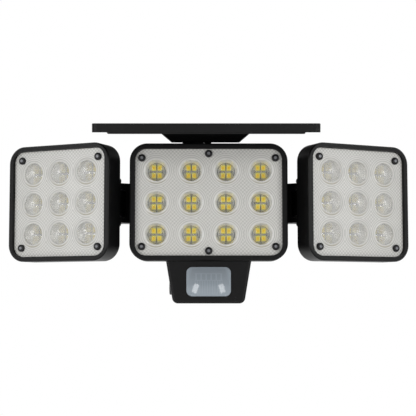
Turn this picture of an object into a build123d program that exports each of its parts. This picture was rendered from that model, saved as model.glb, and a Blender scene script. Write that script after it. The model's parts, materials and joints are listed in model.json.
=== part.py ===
from build123d import *
from dataclasses import dataclass
from math import asin, cos, degrees, radians
import os

# Three-head solar security light for a wall.
# Millimetres. X to the right, Y towards the wall, Z up.
# The origin is the centre of the wall bracket's rear face.

# Layers from the wall to the front of the centre head
bracket_standoff = 17.0
cover_thickness = 3.0
body_depth = 34.0
head_depth = 19.5

# Lamp heads
head_height = 90.0
head_corner = 13.5
well_corner = 8.5
rim_bevel = 0.9
back_round = 2.0
back_wall = 2.5
centre_width = 120.8
centre_rim = 4.0
side_width = 90.0
side_rim = 3.7
lens_boss_radius = 3.5
lead_hole_radius = 3.0

# Optic plates, their seals and their lenses
optic_recess = 3.0
optic_thickness = 2.0
optic_gap = 0.2
seal_thickness = 0.8
seal_ledge = 1.8
lens_radius = 8.5
dome_height = 3.6
lens_foot_radius = 7.3
lens_hollow_radius = 6.4
lens_hollow_foot = 5.9
lens_core = 4.8
lens_lip_radius = 10.25
lens_lip_width = 1.1
lens_lip_height = 0.35
centre_columns = 4
centre_rows = 3
centre_pitch_x = 26.8
centre_pitch_z = 24.4
side_columns = 3
side_rows = 3
side_pitch_x = 24.0
side_pitch_z = 23.6
centre_screw_inset_x = 9.2
centre_screw_inset_z = 11.0
centre_middle_inset = 7.7
side_screw_inset = 10.7

# Lamp boards and their chips, four under each lens
led_board_depth = 12.2
board_thickness = 1.6
board_gap = 0.4
chip_width = 2.8
chip_height = 3.5
chip_thickness = 0.75
chip_pitch_x = 3.9
chip_pitch_z = 5.3
post_radius = 3.5

# Screws, as diameter of the shank, of the head, and height of the head
lens_screw_size = 3.0
lens_screw_head = 5.8
lens_screw_head_height = 2.0
lens_screw_length = 9.0
case_screw_size = 3.0
case_screw_head = 5.6
case_screw_head_height = 2.0
board_screw_size = 2.0
board_screw_head = 3.8
board_screw_head_height = 1.4
board_screw_length = 6.0
screw_clearance = 0.2
thread_gap = 0.05

# Shares of a screw's head taken by its edge round and its driver recess
head_round_share = 0.4
recess_length_share = 0.55
recess_width_share = 0.15
recess_floor_share = 0.45
hex_socket_share = 0.4

# Rear housing of the body
body_width = 112.0
body_top_drop = 10.0
body_bottom_rise = 8.0
body_corner = 8.0
body_wall = 2.5
cover_boss_radius = 4.0
cover_boss_inset = 7.5
cover_screw_length = 12.0
mount_screw_length = 6.0
mount_screw_inset = 10.0
mount_screw_high = 16.0
mount_screw_low = -6.0

# Rear cover, its seal and the block that the wall bracket holds
cover_lip_depth = 2.0
cover_lip_width = 1.6
cover_lip_gap = 0.3
cover_seal_width = 1.2
cover_seal_thickness = 0.8
block_width = 50.0
block_height = 36.0
block_corner = 3.0
block_wall = 3.0
block_end_gap = 2.0
block_boss_radius = 4.5
block_boss_length = 7.0

# Wall bracket
plate_width = 96.0
plate_thickness = 2.0
plate_corner = 4.0
flange_thickness = 2.0
flange_width = 44.0
flange_front_gap = 2.0
flange_fit = 0.2
wall_hole_radius = 2.5
wall_hole_pitch_x = 76.0
wall_hole_pitch_z = 24.0
lock_screw_size = 4.0
lock_screw_head = 7.5
lock_screw_head_height = 2.6
lock_screw_length = 10.0

# Side hinges: each stands behind the head's back, near its inner edge
hinge_axis_setback = 22.7
hinge_inset = 10.5
hinge_setback = 13.0
hinge_z = 0.5
side_head_gap = 0.5
side_yaw = 25.0
ear_radius = 8.0
ear_thickness = 5.0
ear_gap = 21.0
ear_round = 0.8
ear_heel = 1.0
ear_front_margin = 0.2
web_gap = 0.4
web_wrap = 4.5
hinge_bolt_size = 4.0
hinge_bolt_head = 8.0
hinge_bolt_head_height = 2.4
hinge_nut_width = 7.0
hinge_nut_height = 3.0
hinge_recess_gap = 0.2
washer_radius = 6.5
washer_thickness = 1.0
knuckle_radius = 6.5
knuckle_play = 0.05
pin_play = 0.05
arm_width = 13.0
arm_flange_width = 17.0
arm_flange_height = 39.0
arm_flange_thickness = 3.0
arm_flange_corner = 3.0
arm_screw_inset = 3.0
arm_screw_length = 7.0

# Panel hinge: fork on the body, lug under the panel, axis along X
tilt_axis_setback = 31.5
tilt_axis_drop = 2.0
panel_tilt = 8.8
fork_centre_x = -9.3
fork_ear = 5.8
fork_gap = 11.3
fork_radius = 7.0
lug_play = 0.15
tilt_bolt_size = 5.0
tilt_bolt_head = 8.5
tilt_bolt_head_height = 3.5
tilt_nut_width = 8.0
tilt_nut_height = 4.0

# Solar panel, in its own tilted frame, heights from the hinge axis
panel_width = 166.8
panel_front = 75.0
panel_back = 26.0
panel_centre_x = -1.8
panel_underside = 15.2
panel_edge = 6.6
panel_edge_bevel = 0.5
panel_corner = 4.0
panel_rim = 3.0
panel_rim_drop = 0.3
swell_inset = 10.0
swell_depth = 1.2
swell_bevel = 0.8
sheet_gap = 0.4
backing_thickness = 1.6
cell_thickness = 0.3
cell_columns = 6
cell_rows = 2
cell_spacing = 1.4
cell_margin = 2.0
glazing_thickness = 1.2

# Junction box under the panel
box_centre_x = -2.5
box_top_width = 69.0
box_top_depth = 38.0
box_bottom_width = 53.0
box_bottom_depth = 30.0
box_bottom_height = 7.1
box_corner = 3.0
box_inner_corner = 1.0
box_wall = 2.0
box_boss_radius = 4.2
box_boss_inset = 4.0
box_screw_length = 7.0

# Sensor housing, hung under the body behind and below the centre head
sensor_setback = 2.0
sensor_depth = 36.0
sensor_top_gap = 0.3
sensor_top_width = 65.0
sensor_bottom_width = 54.3
sensor_height = 32.0
sensor_corner = 4.5
sensor_wall = 2.4
sensor_front_round = 2.0
neck_width = 48.0
neck_front_gap = 0.5
neck_depth = 17.5
neck_screw_x = 17.0
neck_boss_radius = 3.5
neck_boss_length = 9.0
passage_radius = 4.5
sensor_cover_thickness = 2.0
sensor_boss_radius = 3.0
sensor_boss_length = 12.0
sensor_boss_top_inset = 2.6
sensor_boss_bottom_inset = 5.2
sensor_boss_side_gap = 5.2
sensor_screw_length = 9.0

# Fresnel window of the motion sensor
window_width = 34.0
window_height = 22.4
window_corner = 4.5
window_drop = 15.5
window_bulge = 3.3
window_skin = 1.0
window_flange = 1.0
window_flange_thickness = 1.2
window_fit = 0.15

# Sensor board, motion sensor and light guide
sensor_board_setback = 12.0
sensor_board_width = 44.4
sensor_board_height = 22.4
sensor_board_drop = 17.1
sensor_post_radius = 2.0
sensor_post_x = 20.6
sensor_post_rise = 3.6
motion_can_radius = 4.6
motion_can_height = 4.2
motion_rim = 0.5
motion_rim_height = 0.6
motion_window_width = 4.0
motion_window_height = 3.0
motion_window_corner = 0.3
motion_window_depth = 0.4
guide_x = 20.4
guide_drop = 27.7
guide_tip_radius = 0.75
guide_radius = 1.1
guide_gap = 0.1
guide_recess = 0.3
socket_width = 10.0
socket_height = 5.0
socket_depth = 5.0

# Push button in the left wall of the sensor housing, and its switch
button_radius = 5.5
button_gap = 0.3
button_setback = 16.6
button_drop = 19.8
button_proud = 1.1
button_edge = 0.8
button_travel = 0.8
button_flange = 1.25
button_flange_thickness = 1.2
button_flange_inset = 6.4
stem_radius = 2.0
stem_length = 1.8
switch_size = 6.0
switch_depth = 3.5
plunger_radius = 1.7
plunger_reach = 1.4
plunger_gap = 0.1
plunger_seat = 2.0

# Battery cells, holder and contacts
cell_radius = 9.2
cell_length = 65.2
cell_gap = 1.0
cell_round = 0.6
cell_nub_radius = 2.9
cell_nub_height = 0.8
contact_thickness = 0.6
contact_tab = 2.5
contact_tab_width = 2.0
holder_base = 2.0
holder_end = 2.0
holder_end_height = 13.0
holder_top_gap = 0.6
holder_rib_length = 39.0

# Control board in the lower half of the rear housing
control_side_gap = 10.5
battery_board_gap = 8.1
control_floor_gap = 1.0
control_setback = 9.9
control_post_inset_x = 3.5
control_post_inset_z = 2.6
control_post_radius = 3.0
lead_radius = 0.8
lead_spread = 2.4
lead_bend = 4.0
lamp_lead_rise = 9.1

# Parts on the control board
part_gap = 1.5
capacitor_radius = 4.0
capacitor_height = 9.0
coil_radius = 4.5
coil_height = 5.0
logic_width = 5.0
logic_height = 4.0
logic_depth = 1.6
logic_pitch = 8.0
power_width = 6.5
power_height = 6.0
power_depth = 2.3

# Rubber grommets where the moving parts' leads leave the housings
grommet_flange = 1.5
grommet_thickness = 1.5
grommet_bore = 1.5
grommet_gap = 0.05
roof_grommet_setback = 10.0
roof_grommet_x = 22.0
box_grommet_x = 14.0

# Places worked out from the sizes above
cover_rear = -bracket_standoff
body_rear = cover_rear - cover_thickness
body_front = body_rear - body_depth
front_plane = body_front - head_depth
body_top = head_height / 2 - body_top_drop
body_bottom = body_bottom_rise - head_height / 2
body_height = body_top - body_bottom
body_centre_z = (body_top + body_bottom) / 2
body_inner_front = body_front + body_wall
well_floor = optic_recess + optic_thickness
ledge_depth = well_floor + seal_thickness
led_board_back = led_board_depth + board_thickness
head_floor = head_depth - back_wall
hinge_x = centre_width / 2 + side_head_gap + hinge_inset
hinge_y = front_plane + hinge_axis_setback
tilt_axis_y = front_plane + tilt_axis_setback
tilt_axis_z = head_height / 2 - tilt_axis_drop
control_width = body_width - 2 * (body_wall + control_side_gap)
battery_high = body_top - body_wall - holder_top_gap
battery_low = battery_high - 4 * cell_radius - cell_gap
control_low = body_bottom + body_wall + control_floor_gap
control_high = battery_low - battery_board_gap
control_height = control_high - control_low
control_centre = (control_low + control_high) / 2
sensor_front = front_plane + sensor_setback
sensor_rear = sensor_front + sensor_depth
sensor_top = -head_height / 2 - sensor_top_gap
sensor_bottom = sensor_top - sensor_height


def along_y(outline, front, rear):
    """Solid from an outline drawn in X and Z, between two places on Y."""
    plane = Plane(origin=(0, rear, 0), x_dir=(1, 0, 0), z_dir=(0, -1, 0))
    return extrude(plane * outline, rear - front, dir=plane.z_dir)


def along_x(outline, left, right):
    """Solid from an outline drawn in Y and Z, between two places on X."""
    plane = Plane(origin=(left, 0, 0), x_dir=(0, 1, 0), z_dir=(1, 0, 0))
    return extrude(plane * outline, right - left, dir=plane.z_dir)


def along_z(outline, low, high):
    """Solid from an outline drawn in X and Y, between two heights."""
    plane = Plane.XY.offset(low)
    return extrude(plane * outline, high - low, dir=plane.z_dir)


def disc(across, up, radius):
    return Pos(across, up) * Circle(radius)


def rounded(width, height, corner, across=0.0, up=0.0):
    return Pos(across, up) * RectangleRounded(width, height, corner)


def group(pieces):
    """Separate solids that share one node."""
    return Compound(children=list(pieces))


def grid(columns, rows, pitch_x, pitch_z):
    """Centres of an even grid, from the top left."""
    places = []
    for row in range(rows):
        for column in range(columns):
            x = (column - (columns - 1) / 2) * pitch_x
            z = ((rows - 1) / 2 - row) * pitch_z
            places.append((x, z))
    return places


def save(name, shape):
    """Write one sub-part as its own file."""
    export_step(shape, f"parts/{name}.step")


# Fasteners


def pan_screw(size, head, head_height, length):
    """Pan-head screw driven towards +Y, with its head on the -Y side of Y = 0."""
    top = along_y(Circle(head / 2), -head_height, 0)
    top = fillet(top.faces().sort_by(Axis.Y)[0].edges(), head_height * head_round_share)
    shank = along_y(Circle(size / 2), 0, length)
    reach = head * recess_length_share
    width = head * recess_width_share
    recess = Rectangle(reach, width) + Rectangle(width, reach)
    return top + shank - along_y(recess, -head_height, -head_height * recess_floor_share)


def hex_nut(width, height, hole_radius):
    """Nut along +Z from Z = 0."""
    outline = RegularPolygon(width / 2, 6, major_radius=False) - Circle(hole_radius)
    return along_z(outline, 0, height)


def socket_bolt(size, head, head_height, length):
    """Cap-head bolt along -Z with the seat of its head at Z = 0."""
    bolt = along_z(Circle(head / 2), 0, head_height) + along_z(Circle(size / 2), -length, 0)
    hexagon = RegularPolygon(size * hex_socket_share, 6, major_radius=False)
    return bolt - along_z(hexagon, head_height * hex_socket_share, head_height)


def lens_screw():
    return pan_screw(lens_screw_size, lens_screw_head, lens_screw_head_height, lens_screw_length)


def case_screw(length):
    return pan_screw(case_screw_size, case_screw_head, case_screw_head_height, length)


def board_screw():
    return pan_screw(board_screw_size, board_screw_head, board_screw_head_height, board_screw_length)


# Lamp heads, each modelled with the middle of its front plane at the origin


@dataclass
class HeadPlan:
    """Sizes that differ between the centre head and the side heads."""

    width: float
    rim: float
    lenses: list
    screws: list
    posts: list
    rear_holes: list
    lead_hole: tuple = None


def centre_plan():
    x = centre_width / 2 - centre_screw_inset_x
    z = head_height / 2 - centre_screw_inset_z
    middle_z = head_height / 2 - centre_middle_inset
    mount_x = body_width / 2 - mount_screw_inset
    mounts = [(side * mount_x, height) for side in (-1, 1) for height in (mount_screw_high, mount_screw_low)]
    middles = [(side * centre_pitch_x, up * centre_pitch_z / 2) for side in (-1, 1) for up in (-1, 1)]
    return HeadPlan(
        width=centre_width,
        rim=centre_rim,
        lenses=grid(centre_columns, centre_rows, centre_pitch_x, centre_pitch_z),
        screws=[(-x, -z), (-x, z), (x, -z), (x, z), (0, middle_z), (0, -middle_z)],
        posts=mounts + middles,
        rear_holes=mounts,
        lead_hole=(0, control_low + lamp_lead_rise),
    )


def arm_centre(side):
    """Middle of the hinge arm's flange on a straight side head."""
    return -side * (side_width / 2 - hinge_inset)


def arm_screw_places(side):
    x = arm_flange_width / 2 - arm_screw_inset
    z = arm_flange_height / 2 - arm_screw_inset
    return [(arm_centre(side) + a * x, hinge_z + b * z) for a in (-1, 1) for b in (-1, 1)]


def side_plan(side):
    reach = side_width / 2 - side_screw_inset
    height = head_height / 2 - side_screw_inset
    middles = [(a * side_pitch_x / 2, b * side_pitch_z / 2) for a in (-1, 1) for b in (-1, 1)]
    return HeadPlan(
        width=side_width,
        rim=side_rim,
        lenses=grid(side_columns, side_rows, side_pitch_x, side_pitch_z),
        screws=[(a * reach, b * height) for a in (-1, 1) for b in (-1, 1)],
        posts=arm_screw_places(side) + middles,
        rear_holes=arm_screw_places(side),
    )


def inner_outline(plan, inset, corner):
    return rounded(plan.width - 2 * inset, head_height - 2 * inset, corner)


def boss_notch(plan, place, reach):
    """Cut-out that clears a lens boss, open to the nearest edge of the head."""
    x, z = place
    far_z = head_height / 2
    high = far_z if z > 0 else -far_z
    near = z - reach if z > 0 else z + reach
    if x == 0:
        left, right = -reach, reach
    else:
        edge = plan.width / 2 if x > 0 else -plan.width / 2
        inner = x - reach if x > 0 else x + reach
        left, right = min(edge, inner), max(edge, inner)
    return Pos((left + right) / 2, (near + high) / 2) * Rectangle(right - left, abs(high - near))


def head_housing(plan):
    """Open-fronted tray with a stepped well, lens bosses and board posts."""
    tray = along_y(rounded(plan.width, head_height, head_corner), 0, head_depth)
    tray = chamfer(tray.faces().sort_by(Axis.Y)[0].edges(), rim_bevel)
    tray = fillet(tray.faces().sort_by(Axis.Y)[-1].edges(), back_round)
    tray -= along_y(inner_outline(plan, plan.rim, well_corner), 0, ledge_depth)
    tray -= along_y(inner_outline(plan, plan.rim + seal_ledge, well_corner - seal_ledge), ledge_depth, head_floor)
    for x, z in plan.screws:
        tray += along_y(disc(x, z, lens_boss_radius), ledge_depth, head_floor)
    for x, z in plan.posts:
        tray += along_y(disc(x, z, post_radius), led_board_back, head_floor)
    pilot = lens_screw_size / 2 + thread_gap
    for x, z in plan.screws:
        tray -= along_y(disc(x, z, pilot), ledge_depth, optic_recess + lens_screw_length)
    for x, z in plan.rear_holes:
        tray -= along_y(disc(x, z, case_screw_size / 2 + thread_gap), led_board_back, head_depth)
    if plan.lead_hole:
        tray -= along_y(disc(*plan.lead_hole, lead_hole_radius), head_floor, head_depth)
    return tray


def head_seal(plan):
    """Flat gasket between the ledge and the optic plate."""
    ring = inner_outline(plan, plan.rim + optic_gap, well_corner - optic_gap)
    ring -= inner_outline(plan, plan.rim + seal_ledge, well_corner - seal_ledge)
    return along_y(ring, well_floor, ledge_depth)


def lens_body():
    """Domed lens with its collar down to the board, turned about Y."""
    apex = optic_recess - dome_height
    ball_radius = (lens_radius**2 + dome_height**2) / (2 * dome_height)
    sweep_angle = degrees(asin(lens_radius / ball_radius))
    dome = JernArc(start=(0, apex), tangent=(1, 0), radius=ball_radius, arc_size=sweep_angle)
    sides = Polyline(
        (lens_radius, optic_recess),
        (lens_radius, well_floor),
        (lens_foot_radius, led_board_depth),
        (0, led_board_depth),
        (0, apex),
    )
    return revolve(make_face(dome + sides), Axis.Y)


def lens_hollow():
    """Space for the four chips under a lens."""
    profile = Polyline(
        (0, lens_core),
        (lens_hollow_radius, lens_core),
        (lens_hollow_foot, led_board_depth),
        (0, led_board_depth),
        close=True,
    )
    return revolve(make_face(profile), Axis.Y)


def optic_plate(plan):
    """Clear plate with one domed lens over each group of chips."""
    plate = along_y(inner_outline(plan, plan.rim + optic_gap, well_corner - optic_gap), optic_recess, well_floor)
    lip = Circle(lens_lip_radius) - Circle(lens_lip_radius - lens_lip_width)
    ring = along_y(lip, optic_recess - lens_lip_height, optic_recess)
    lens = lens_body()
    hollow = lens_hollow()
    for x, z in plan.lenses:
        plate += Pos(x, 0, z) * lens
        plate += Pos(x, 0, z) * ring
        plate -= Pos(x, 0, z) * hollow
    hole = lens_screw_size / 2 + screw_clearance
    for x, z in plan.screws:
        plate -= along_y(disc(x, z, hole), optic_recess, well_floor)
    return plate


def led_board(plan):
    """White aluminium-core board, notched round the lens bosses."""
    inset = plan.rim + seal_ledge + board_gap
    outline = inner_outline(plan, inset, well_corner - seal_ledge)
    for place in plan.screws:
        outline -= boss_notch(plan, place, lens_boss_radius + board_gap)
    return along_y(outline, led_board_depth, led_board_back)


def led_chips(plan):
    """Four lamp chips on the board under each lens."""
    chips = []
    for lens_x, lens_z in plan.lenses:
        for x, z in grid(2, 2, chip_pitch_x, chip_pitch_z):
            outline = Pos(lens_x + x, lens_z + z) * Rectangle(chip_width, chip_height)
            chips.append(along_y(outline, led_board_depth - chip_thickness, led_board_depth))
    return group(chips)


def lens_screws(plan):
    return group(Pos(x, optic_recess, z) * lens_screw() for x, z in plan.screws)


def hinge_arm(side):
    """Flange on the back of a side head, and the knuckle that the hinge bolt holds."""
    x = arm_centre(side)
    flange_back = head_depth + arm_flange_thickness
    pivot = head_depth + hinge_setback
    half = ear_gap / 2 - washer_thickness - knuckle_play
    flange = along_y(
        rounded(arm_flange_width, arm_flange_height, arm_flange_corner, x, hinge_z), head_depth, flange_back
    )
    neck = Pos(x, (flange_back + pivot) / 2) * Rectangle(arm_width, pivot - flange_back)
    knuckle = along_z(neck + Pos(x, pivot) * Circle(knuckle_radius), hinge_z - half, hinge_z + half)
    arm = flange + knuckle
    bore = hinge_bolt_size / 2 + pin_play
    arm -= along_z(Pos(x, pivot) * Circle(bore), hinge_z - half, hinge_z + half)
    for screw_x, screw_z in arm_screw_places(side):
        hole = case_screw_size / 2 + screw_clearance
        arm -= along_y(disc(screw_x, screw_z, hole), head_depth, flange_back)
    return arm


def arm_screws(side):
    back = head_depth + arm_flange_thickness
    screw = Rot(0, 0, 180) * case_screw(arm_screw_length)
    return group(Pos(x, back, z) * screw for x, z in arm_screw_places(side))


def grommet(wall):
    """Rubber bush along +Y through a wall that starts at Y = 0, flange on the +Y side."""
    neck = along_y(Circle(lead_hole_radius - grommet_gap), 0, wall)
    flange = along_y(Circle(lead_hole_radius + grommet_flange), wall, wall + grommet_thickness)
    return neck + flange - along_y(Circle(grommet_bore), 0, wall + grommet_thickness)


def side_head_place(side):
    """Where a straight side head goes: its pivot on the hinge axis, turned outwards."""
    pivot = Pos(side * hinge_x, hinge_y, 0) * Rot(0, 0, side * side_yaw)
    return pivot * Pos(-arm_centre(side), -(head_depth + hinge_setback), 0)


def build_heads():
    centre = Pos(0, front_plane, 0)
    plan = centre_plan()
    save("centre_head_housing", centre * head_housing(plan))
    save("centre_optic_seal", centre * head_seal(plan))
    save("centre_optic_plate", centre * optic_plate(plan))
    save("centre_led_board", centre * led_board(plan))
    save("centre_led_chips", centre * led_chips(plan))
    save("centre_lens_screws", centre * lens_screws(plan))
    for side, name in ((-1, "left"), (1, "right")):
        place = side_head_place(side)
        plan = side_plan(side)
        save(f"{name}_head_housing", place * head_housing(plan))
        save(f"{name}_optic_seal", place * head_seal(plan))
        save(f"{name}_optic_plate", place * optic_plate(plan))
        save(f"{name}_led_board", place * led_board(plan))
        save(f"{name}_led_chips", place * led_chips(plan))
        save(f"{name}_lens_screws", place * lens_screws(plan))
        save(f"{name}_hinge_arm", place * hinge_arm(side))
        save(f"{name}_arm_screws", place * arm_screws(side))


# Rear housing, which carries the hinges


def ear_outline(side):
    """Plan of a side hinge ear: a round end at the bolt, faired back to the body."""
    front = body_front + ear_front_margin
    back = hinge_y + ear_radius
    start = centre_width / 2 + ear_front_margin
    root = body_width / 2 - body_wall / 2
    middle = (front + back) / 2
    heel = Pos(start + ear_heel / 2, middle) * Rectangle(ear_heel, back - front)
    tip = Pos(hinge_x, hinge_y) * Circle(ear_radius)
    bridge = Pos((root + start + ear_heel) / 2, middle) * Rectangle(start + ear_heel - root, back - front)
    outline = make_hull(tip.edges() + heel.edges()) + bridge
    return outline if side > 0 else mirror(outline, Plane.YZ)


def hinge_web(side):
    """Wall between the two ears, hollowed to clear the knuckle and open to the arm in front."""
    web = ear_outline(side) - Pos(side * hinge_x, hinge_y) * Circle(knuckle_radius + web_gap)
    reach = hinge_x - knuckle_radius + web_wrap
    far = ear_radius + knuckle_radius
    web -= Pos(side * (reach + far / 2), hinge_y) * Rectangle(far, 2 * far)
    front = Pos(side * hinge_x, hinge_y - far / 2) * Rectangle(2 * (knuckle_radius + web_gap), far)
    return along_z(web - front, hinge_z - ear_gap / 2, hinge_z + ear_gap / 2)


def hinge_ears(side):
    """Upper and lower ear of one side hinge, with the bolt's recess and the nut's pocket."""
    low = hinge_z - ear_gap / 2 - ear_thickness
    high = hinge_z + ear_gap / 2 + ear_thickness
    upper = along_z(ear_outline(side), hinge_z + ear_gap / 2, high)
    lower = along_z(ear_outline(side), low, hinge_z - ear_gap / 2)
    place = Pos(side * hinge_x, hinge_y)
    hole = hinge_bolt_size / 2 + screw_clearance
    recess = hinge_bolt_head / 2 + hinge_recess_gap
    upper -= along_z(place * Circle(hole), hinge_z, high)
    upper -= along_z(place * Circle(recess), high - hinge_bolt_head_height - hinge_recess_gap, high)
    lower -= along_z(place * Circle(hole), low, hinge_z)
    pocket = RegularPolygon(hinge_nut_width / 2 + hinge_recess_gap, 6, major_radius=False)
    lower -= along_z(place * pocket, low, low + hinge_nut_height + hinge_recess_gap)
    upper = fillet(upper.faces().sort_by(Axis.Z)[-1].outer_wire().edges(), ear_round)
    lower = fillet(lower.faces().sort_by(Axis.Z)[0].outer_wire().edges(), ear_round)
    return upper + lower + hinge_web(side)


def fork_ears():
    """Two upright ears that carry the panel's tilt bolt."""
    rise = tilt_axis_z - body_top + body_wall
    base = Pos(tilt_axis_y, tilt_axis_z - rise / 2) * Rectangle(2 * fork_radius, rise)
    outline = base + disc(tilt_axis_y, tilt_axis_z, fork_radius)
    outline -= disc(tilt_axis_y, tilt_axis_z, tilt_bolt_size / 2 + screw_clearance)
    half = fork_gap / 2
    left = along_x(outline, fork_centre_x - half - fork_ear, fork_centre_x - half)
    right = along_x(outline, fork_centre_x + half, fork_centre_x + half + fork_ear)
    return left + right


def cover_screw_places():
    x = body_width / 2 - cover_boss_inset
    z = body_height / 2 - cover_boss_inset
    return [(a * x, body_centre_z + b * z) for a in (-1, 1) for b in (-1, 1)]


def control_post_places():
    x = control_width / 2 - control_post_inset_x
    heights = (control_low + control_post_inset_z, control_high - control_post_inset_z)
    return [(a * x, z) for a in (-1, 1) for z in heights]


def passage_y():
    """Middle of the neck between the rear housing and the sensor housing."""
    return body_front + neck_front_gap + neck_depth / 2


def neck_screw_places():
    return [(a * neck_screw_x, passage_y()) for a in (-1, 1)]


def rear_housing():
    """Box that holds the battery and the control board, open towards the wall."""
    shell = rounded(body_width, body_height, body_corner, 0, body_centre_z)
    inner_size = (body_width - 2 * body_wall, body_height - 2 * body_wall)
    cavity = rounded(*inner_size, body_corner - body_wall, 0, body_centre_z)
    box = along_y(shell, body_front, body_rear)
    box += hinge_ears(-1)
    box += hinge_ears(1)
    box += fork_ears()
    box -= along_y(cavity, body_inner_front, body_rear)
    posts_end = body_inner_front + control_setback
    for x, z in cover_screw_places():
        box += along_y(disc(x, z, cover_boss_radius), body_inner_front, body_rear)
    for x, z in control_post_places():
        box += along_y(disc(x, z, control_post_radius), body_inner_front, posts_end)
    for x, z in cover_screw_places():
        pilot = case_screw_size / 2 + thread_gap
        box -= along_y(disc(x, z, pilot), body_rear - cover_screw_length, body_rear)
    for x, z in control_post_places():
        pilot = board_screw_size / 2 + thread_gap
        box -= along_y(disc(x, z, pilot), posts_end - board_screw_length, posts_end)
    for x, z in centre_plan().rear_holes:
        box -= along_y(disc(x, z, case_screw_size / 2 + screw_clearance), body_front, body_inner_front)
    box -= along_y(disc(*centre_plan().lead_hole, lead_hole_radius), body_front, body_inner_front)
    for x, y in neck_screw_places():
        hole = Pos(x, y) * Circle(case_screw_size / 2 + screw_clearance)
        box -= along_z(hole, body_bottom, body_bottom + body_wall)
    box -= along_z(Pos(0, passage_y()) * Circle(passage_radius), body_bottom, body_bottom + body_wall)
    grommet_y = body_rear - roof_grommet_setback
    roof_hole = Pos(roof_grommet_x, grommet_y) * Circle(lead_hole_radius)
    box -= along_z(roof_hole, body_top - body_wall, body_top)
    return box


def roof_grommet():
    """Bush in the roof of the rear housing, where the panel's lead goes in."""
    y = body_rear - roof_grommet_setback
    return Pos(roof_grommet_x, y, body_top - body_wall) * Rot(90, 0, 0) * grommet(body_wall)


def mount_screws():
    """Screws that join the centre head to the rear housing, driven from inside it."""
    screw = Rot(0, 0, 180) * case_screw(mount_screw_length)
    return group(Pos(x, body_inner_front, z) * screw for x, z in centre_plan().rear_holes)


def side_hinge_bolts():
    seat = hinge_z + ear_gap / 2 + ear_thickness - hinge_bolt_head_height - hinge_recess_gap
    foot = hinge_z - ear_gap / 2 - ear_thickness
    bolt = socket_bolt(hinge_bolt_size, hinge_bolt_head, hinge_bolt_head_height, seat - foot)
    return group(Pos(side * hinge_x, hinge_y, seat) * bolt for side in (-1, 1))


def side_hinge_nuts():
    foot = hinge_z - ear_gap / 2 - ear_thickness + hinge_recess_gap
    nut = hex_nut(hinge_nut_width, hinge_nut_height, hinge_bolt_size / 2 + thread_gap)
    return group(Pos(side * hinge_x, hinge_y, foot) * nut for side in (-1, 1))


def side_hinge_washers():
    """Friction washers above and below each knuckle."""
    ring = Circle(washer_radius) - Circle(hinge_bolt_size / 2 + screw_clearance)
    washer = along_z(ring, 0, washer_thickness)
    low = hinge_z - ear_gap / 2
    high = hinge_z + ear_gap / 2 - washer_thickness
    return group(Pos(side * hinge_x, hinge_y, z) * washer for side in (-1, 1) for z in (low, high))


def tilt_bolt():
    right = fork_centre_x + fork_gap / 2 + fork_ear
    span = fork_gap + 2 * fork_ear + tilt_nut_height
    bolt = socket_bolt(tilt_bolt_size, tilt_bolt_head, tilt_bolt_head_height, span)
    return Pos(right, tilt_axis_y, tilt_axis_z) * Rot(0, 90, 0) * bolt


def tilt_nut():
    left = fork_centre_x - fork_gap / 2 - fork_ear
    nut = hex_nut(tilt_nut_width, tilt_nut_height, tilt_bolt_size / 2 + thread_gap)
    return Pos(left, tilt_axis_y, tilt_axis_z) * Rot(0, -90, 0) * nut


def build_body():
    save("rear_housing", rear_housing())
    save("roof_grommet", roof_grommet())
    save("centre_mount_screws", mount_screws())
    save("side_hinge_bolts", side_hinge_bolts())
    save("side_hinge_nuts", side_hinge_nuts())
    save("side_hinge_washers", side_hinge_washers())
    save("tilt_bolt", tilt_bolt())
    save("tilt_nut", tilt_nut())


# Rear cover and wall bracket


def seal_ring():
    inset = (body_wall - cover_seal_width) / 2
    outer = rounded(body_width - 2 * inset, body_height - 2 * inset, body_corner - inset, 0, body_centre_z)
    inset += cover_seal_width
    inner = rounded(body_width - 2 * inset, body_height - 2 * inset, body_corner - inset, 0, body_centre_z)
    return outer - inner


def cover_seal():
    return along_y(seal_ring(), body_rear, body_rear + cover_seal_thickness)


def rear_cover():
    """Lid with a locating lip inside and a hollow block outside for the bracket."""
    plate = along_y(rounded(body_width, body_height, body_corner, 0, body_centre_z), body_rear, cover_rear)
    plate = chamfer(plate.faces().sort_by(Axis.Y)[-1].edges(), rim_bevel)
    inset = body_wall + cover_lip_gap
    lip = rounded(body_width - 2 * inset, body_height - 2 * inset, body_corner - inset, 0, body_centre_z)
    inset += cover_lip_width
    lip -= rounded(body_width - 2 * inset, body_height - 2 * inset, body_corner - inset, 0, body_centre_z)
    lip = along_y(lip, body_rear - cover_lip_depth, body_rear)
    for x, z in cover_screw_places():
        reach = cover_boss_radius + cover_lip_gap
        lip -= along_y(disc(x, z, reach), body_rear - cover_lip_depth, body_rear)
    block_end = -plate_thickness - block_end_gap
    block = along_y(rounded(block_width, block_height, block_corner), cover_rear, block_end)
    hollow = rounded(block_width - 2 * block_wall, block_height - 2 * block_wall, block_corner / 2)
    cover = plate + lip + block - along_y(hollow, body_rear, block_end - block_wall)
    lock_y = lock_screw_y()
    for side in (-1, 1):
        outer = block_height / 2
        boss = along_z(Pos(0, lock_y) * Circle(block_boss_radius), outer - block_boss_length, outer - block_wall)
        pilot = Pos(0, lock_y) * Circle(lock_screw_size / 2 + thread_gap)
        hole = along_z(pilot, outer - lock_screw_length, outer)
        cover += boss if side > 0 else mirror(boss, Plane.XY)
        cover -= hole if side > 0 else mirror(hole, Plane.XY)
    cover -= along_y(seal_ring(), body_rear, body_rear + cover_seal_thickness)
    for x, z in cover_screw_places():
        cover -= along_y(disc(x, z, case_screw_size / 2 + screw_clearance), body_rear, cover_rear)
    return cover


def cover_screws():
    screw = Rot(0, 0, 180) * case_screw(cover_screw_length)
    return group(Pos(x, cover_rear, z) * screw for x, z in cover_screw_places())


def lock_screw_y():
    flange_front = cover_rear + flange_front_gap
    return (flange_front - plate_thickness) / 2


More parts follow.
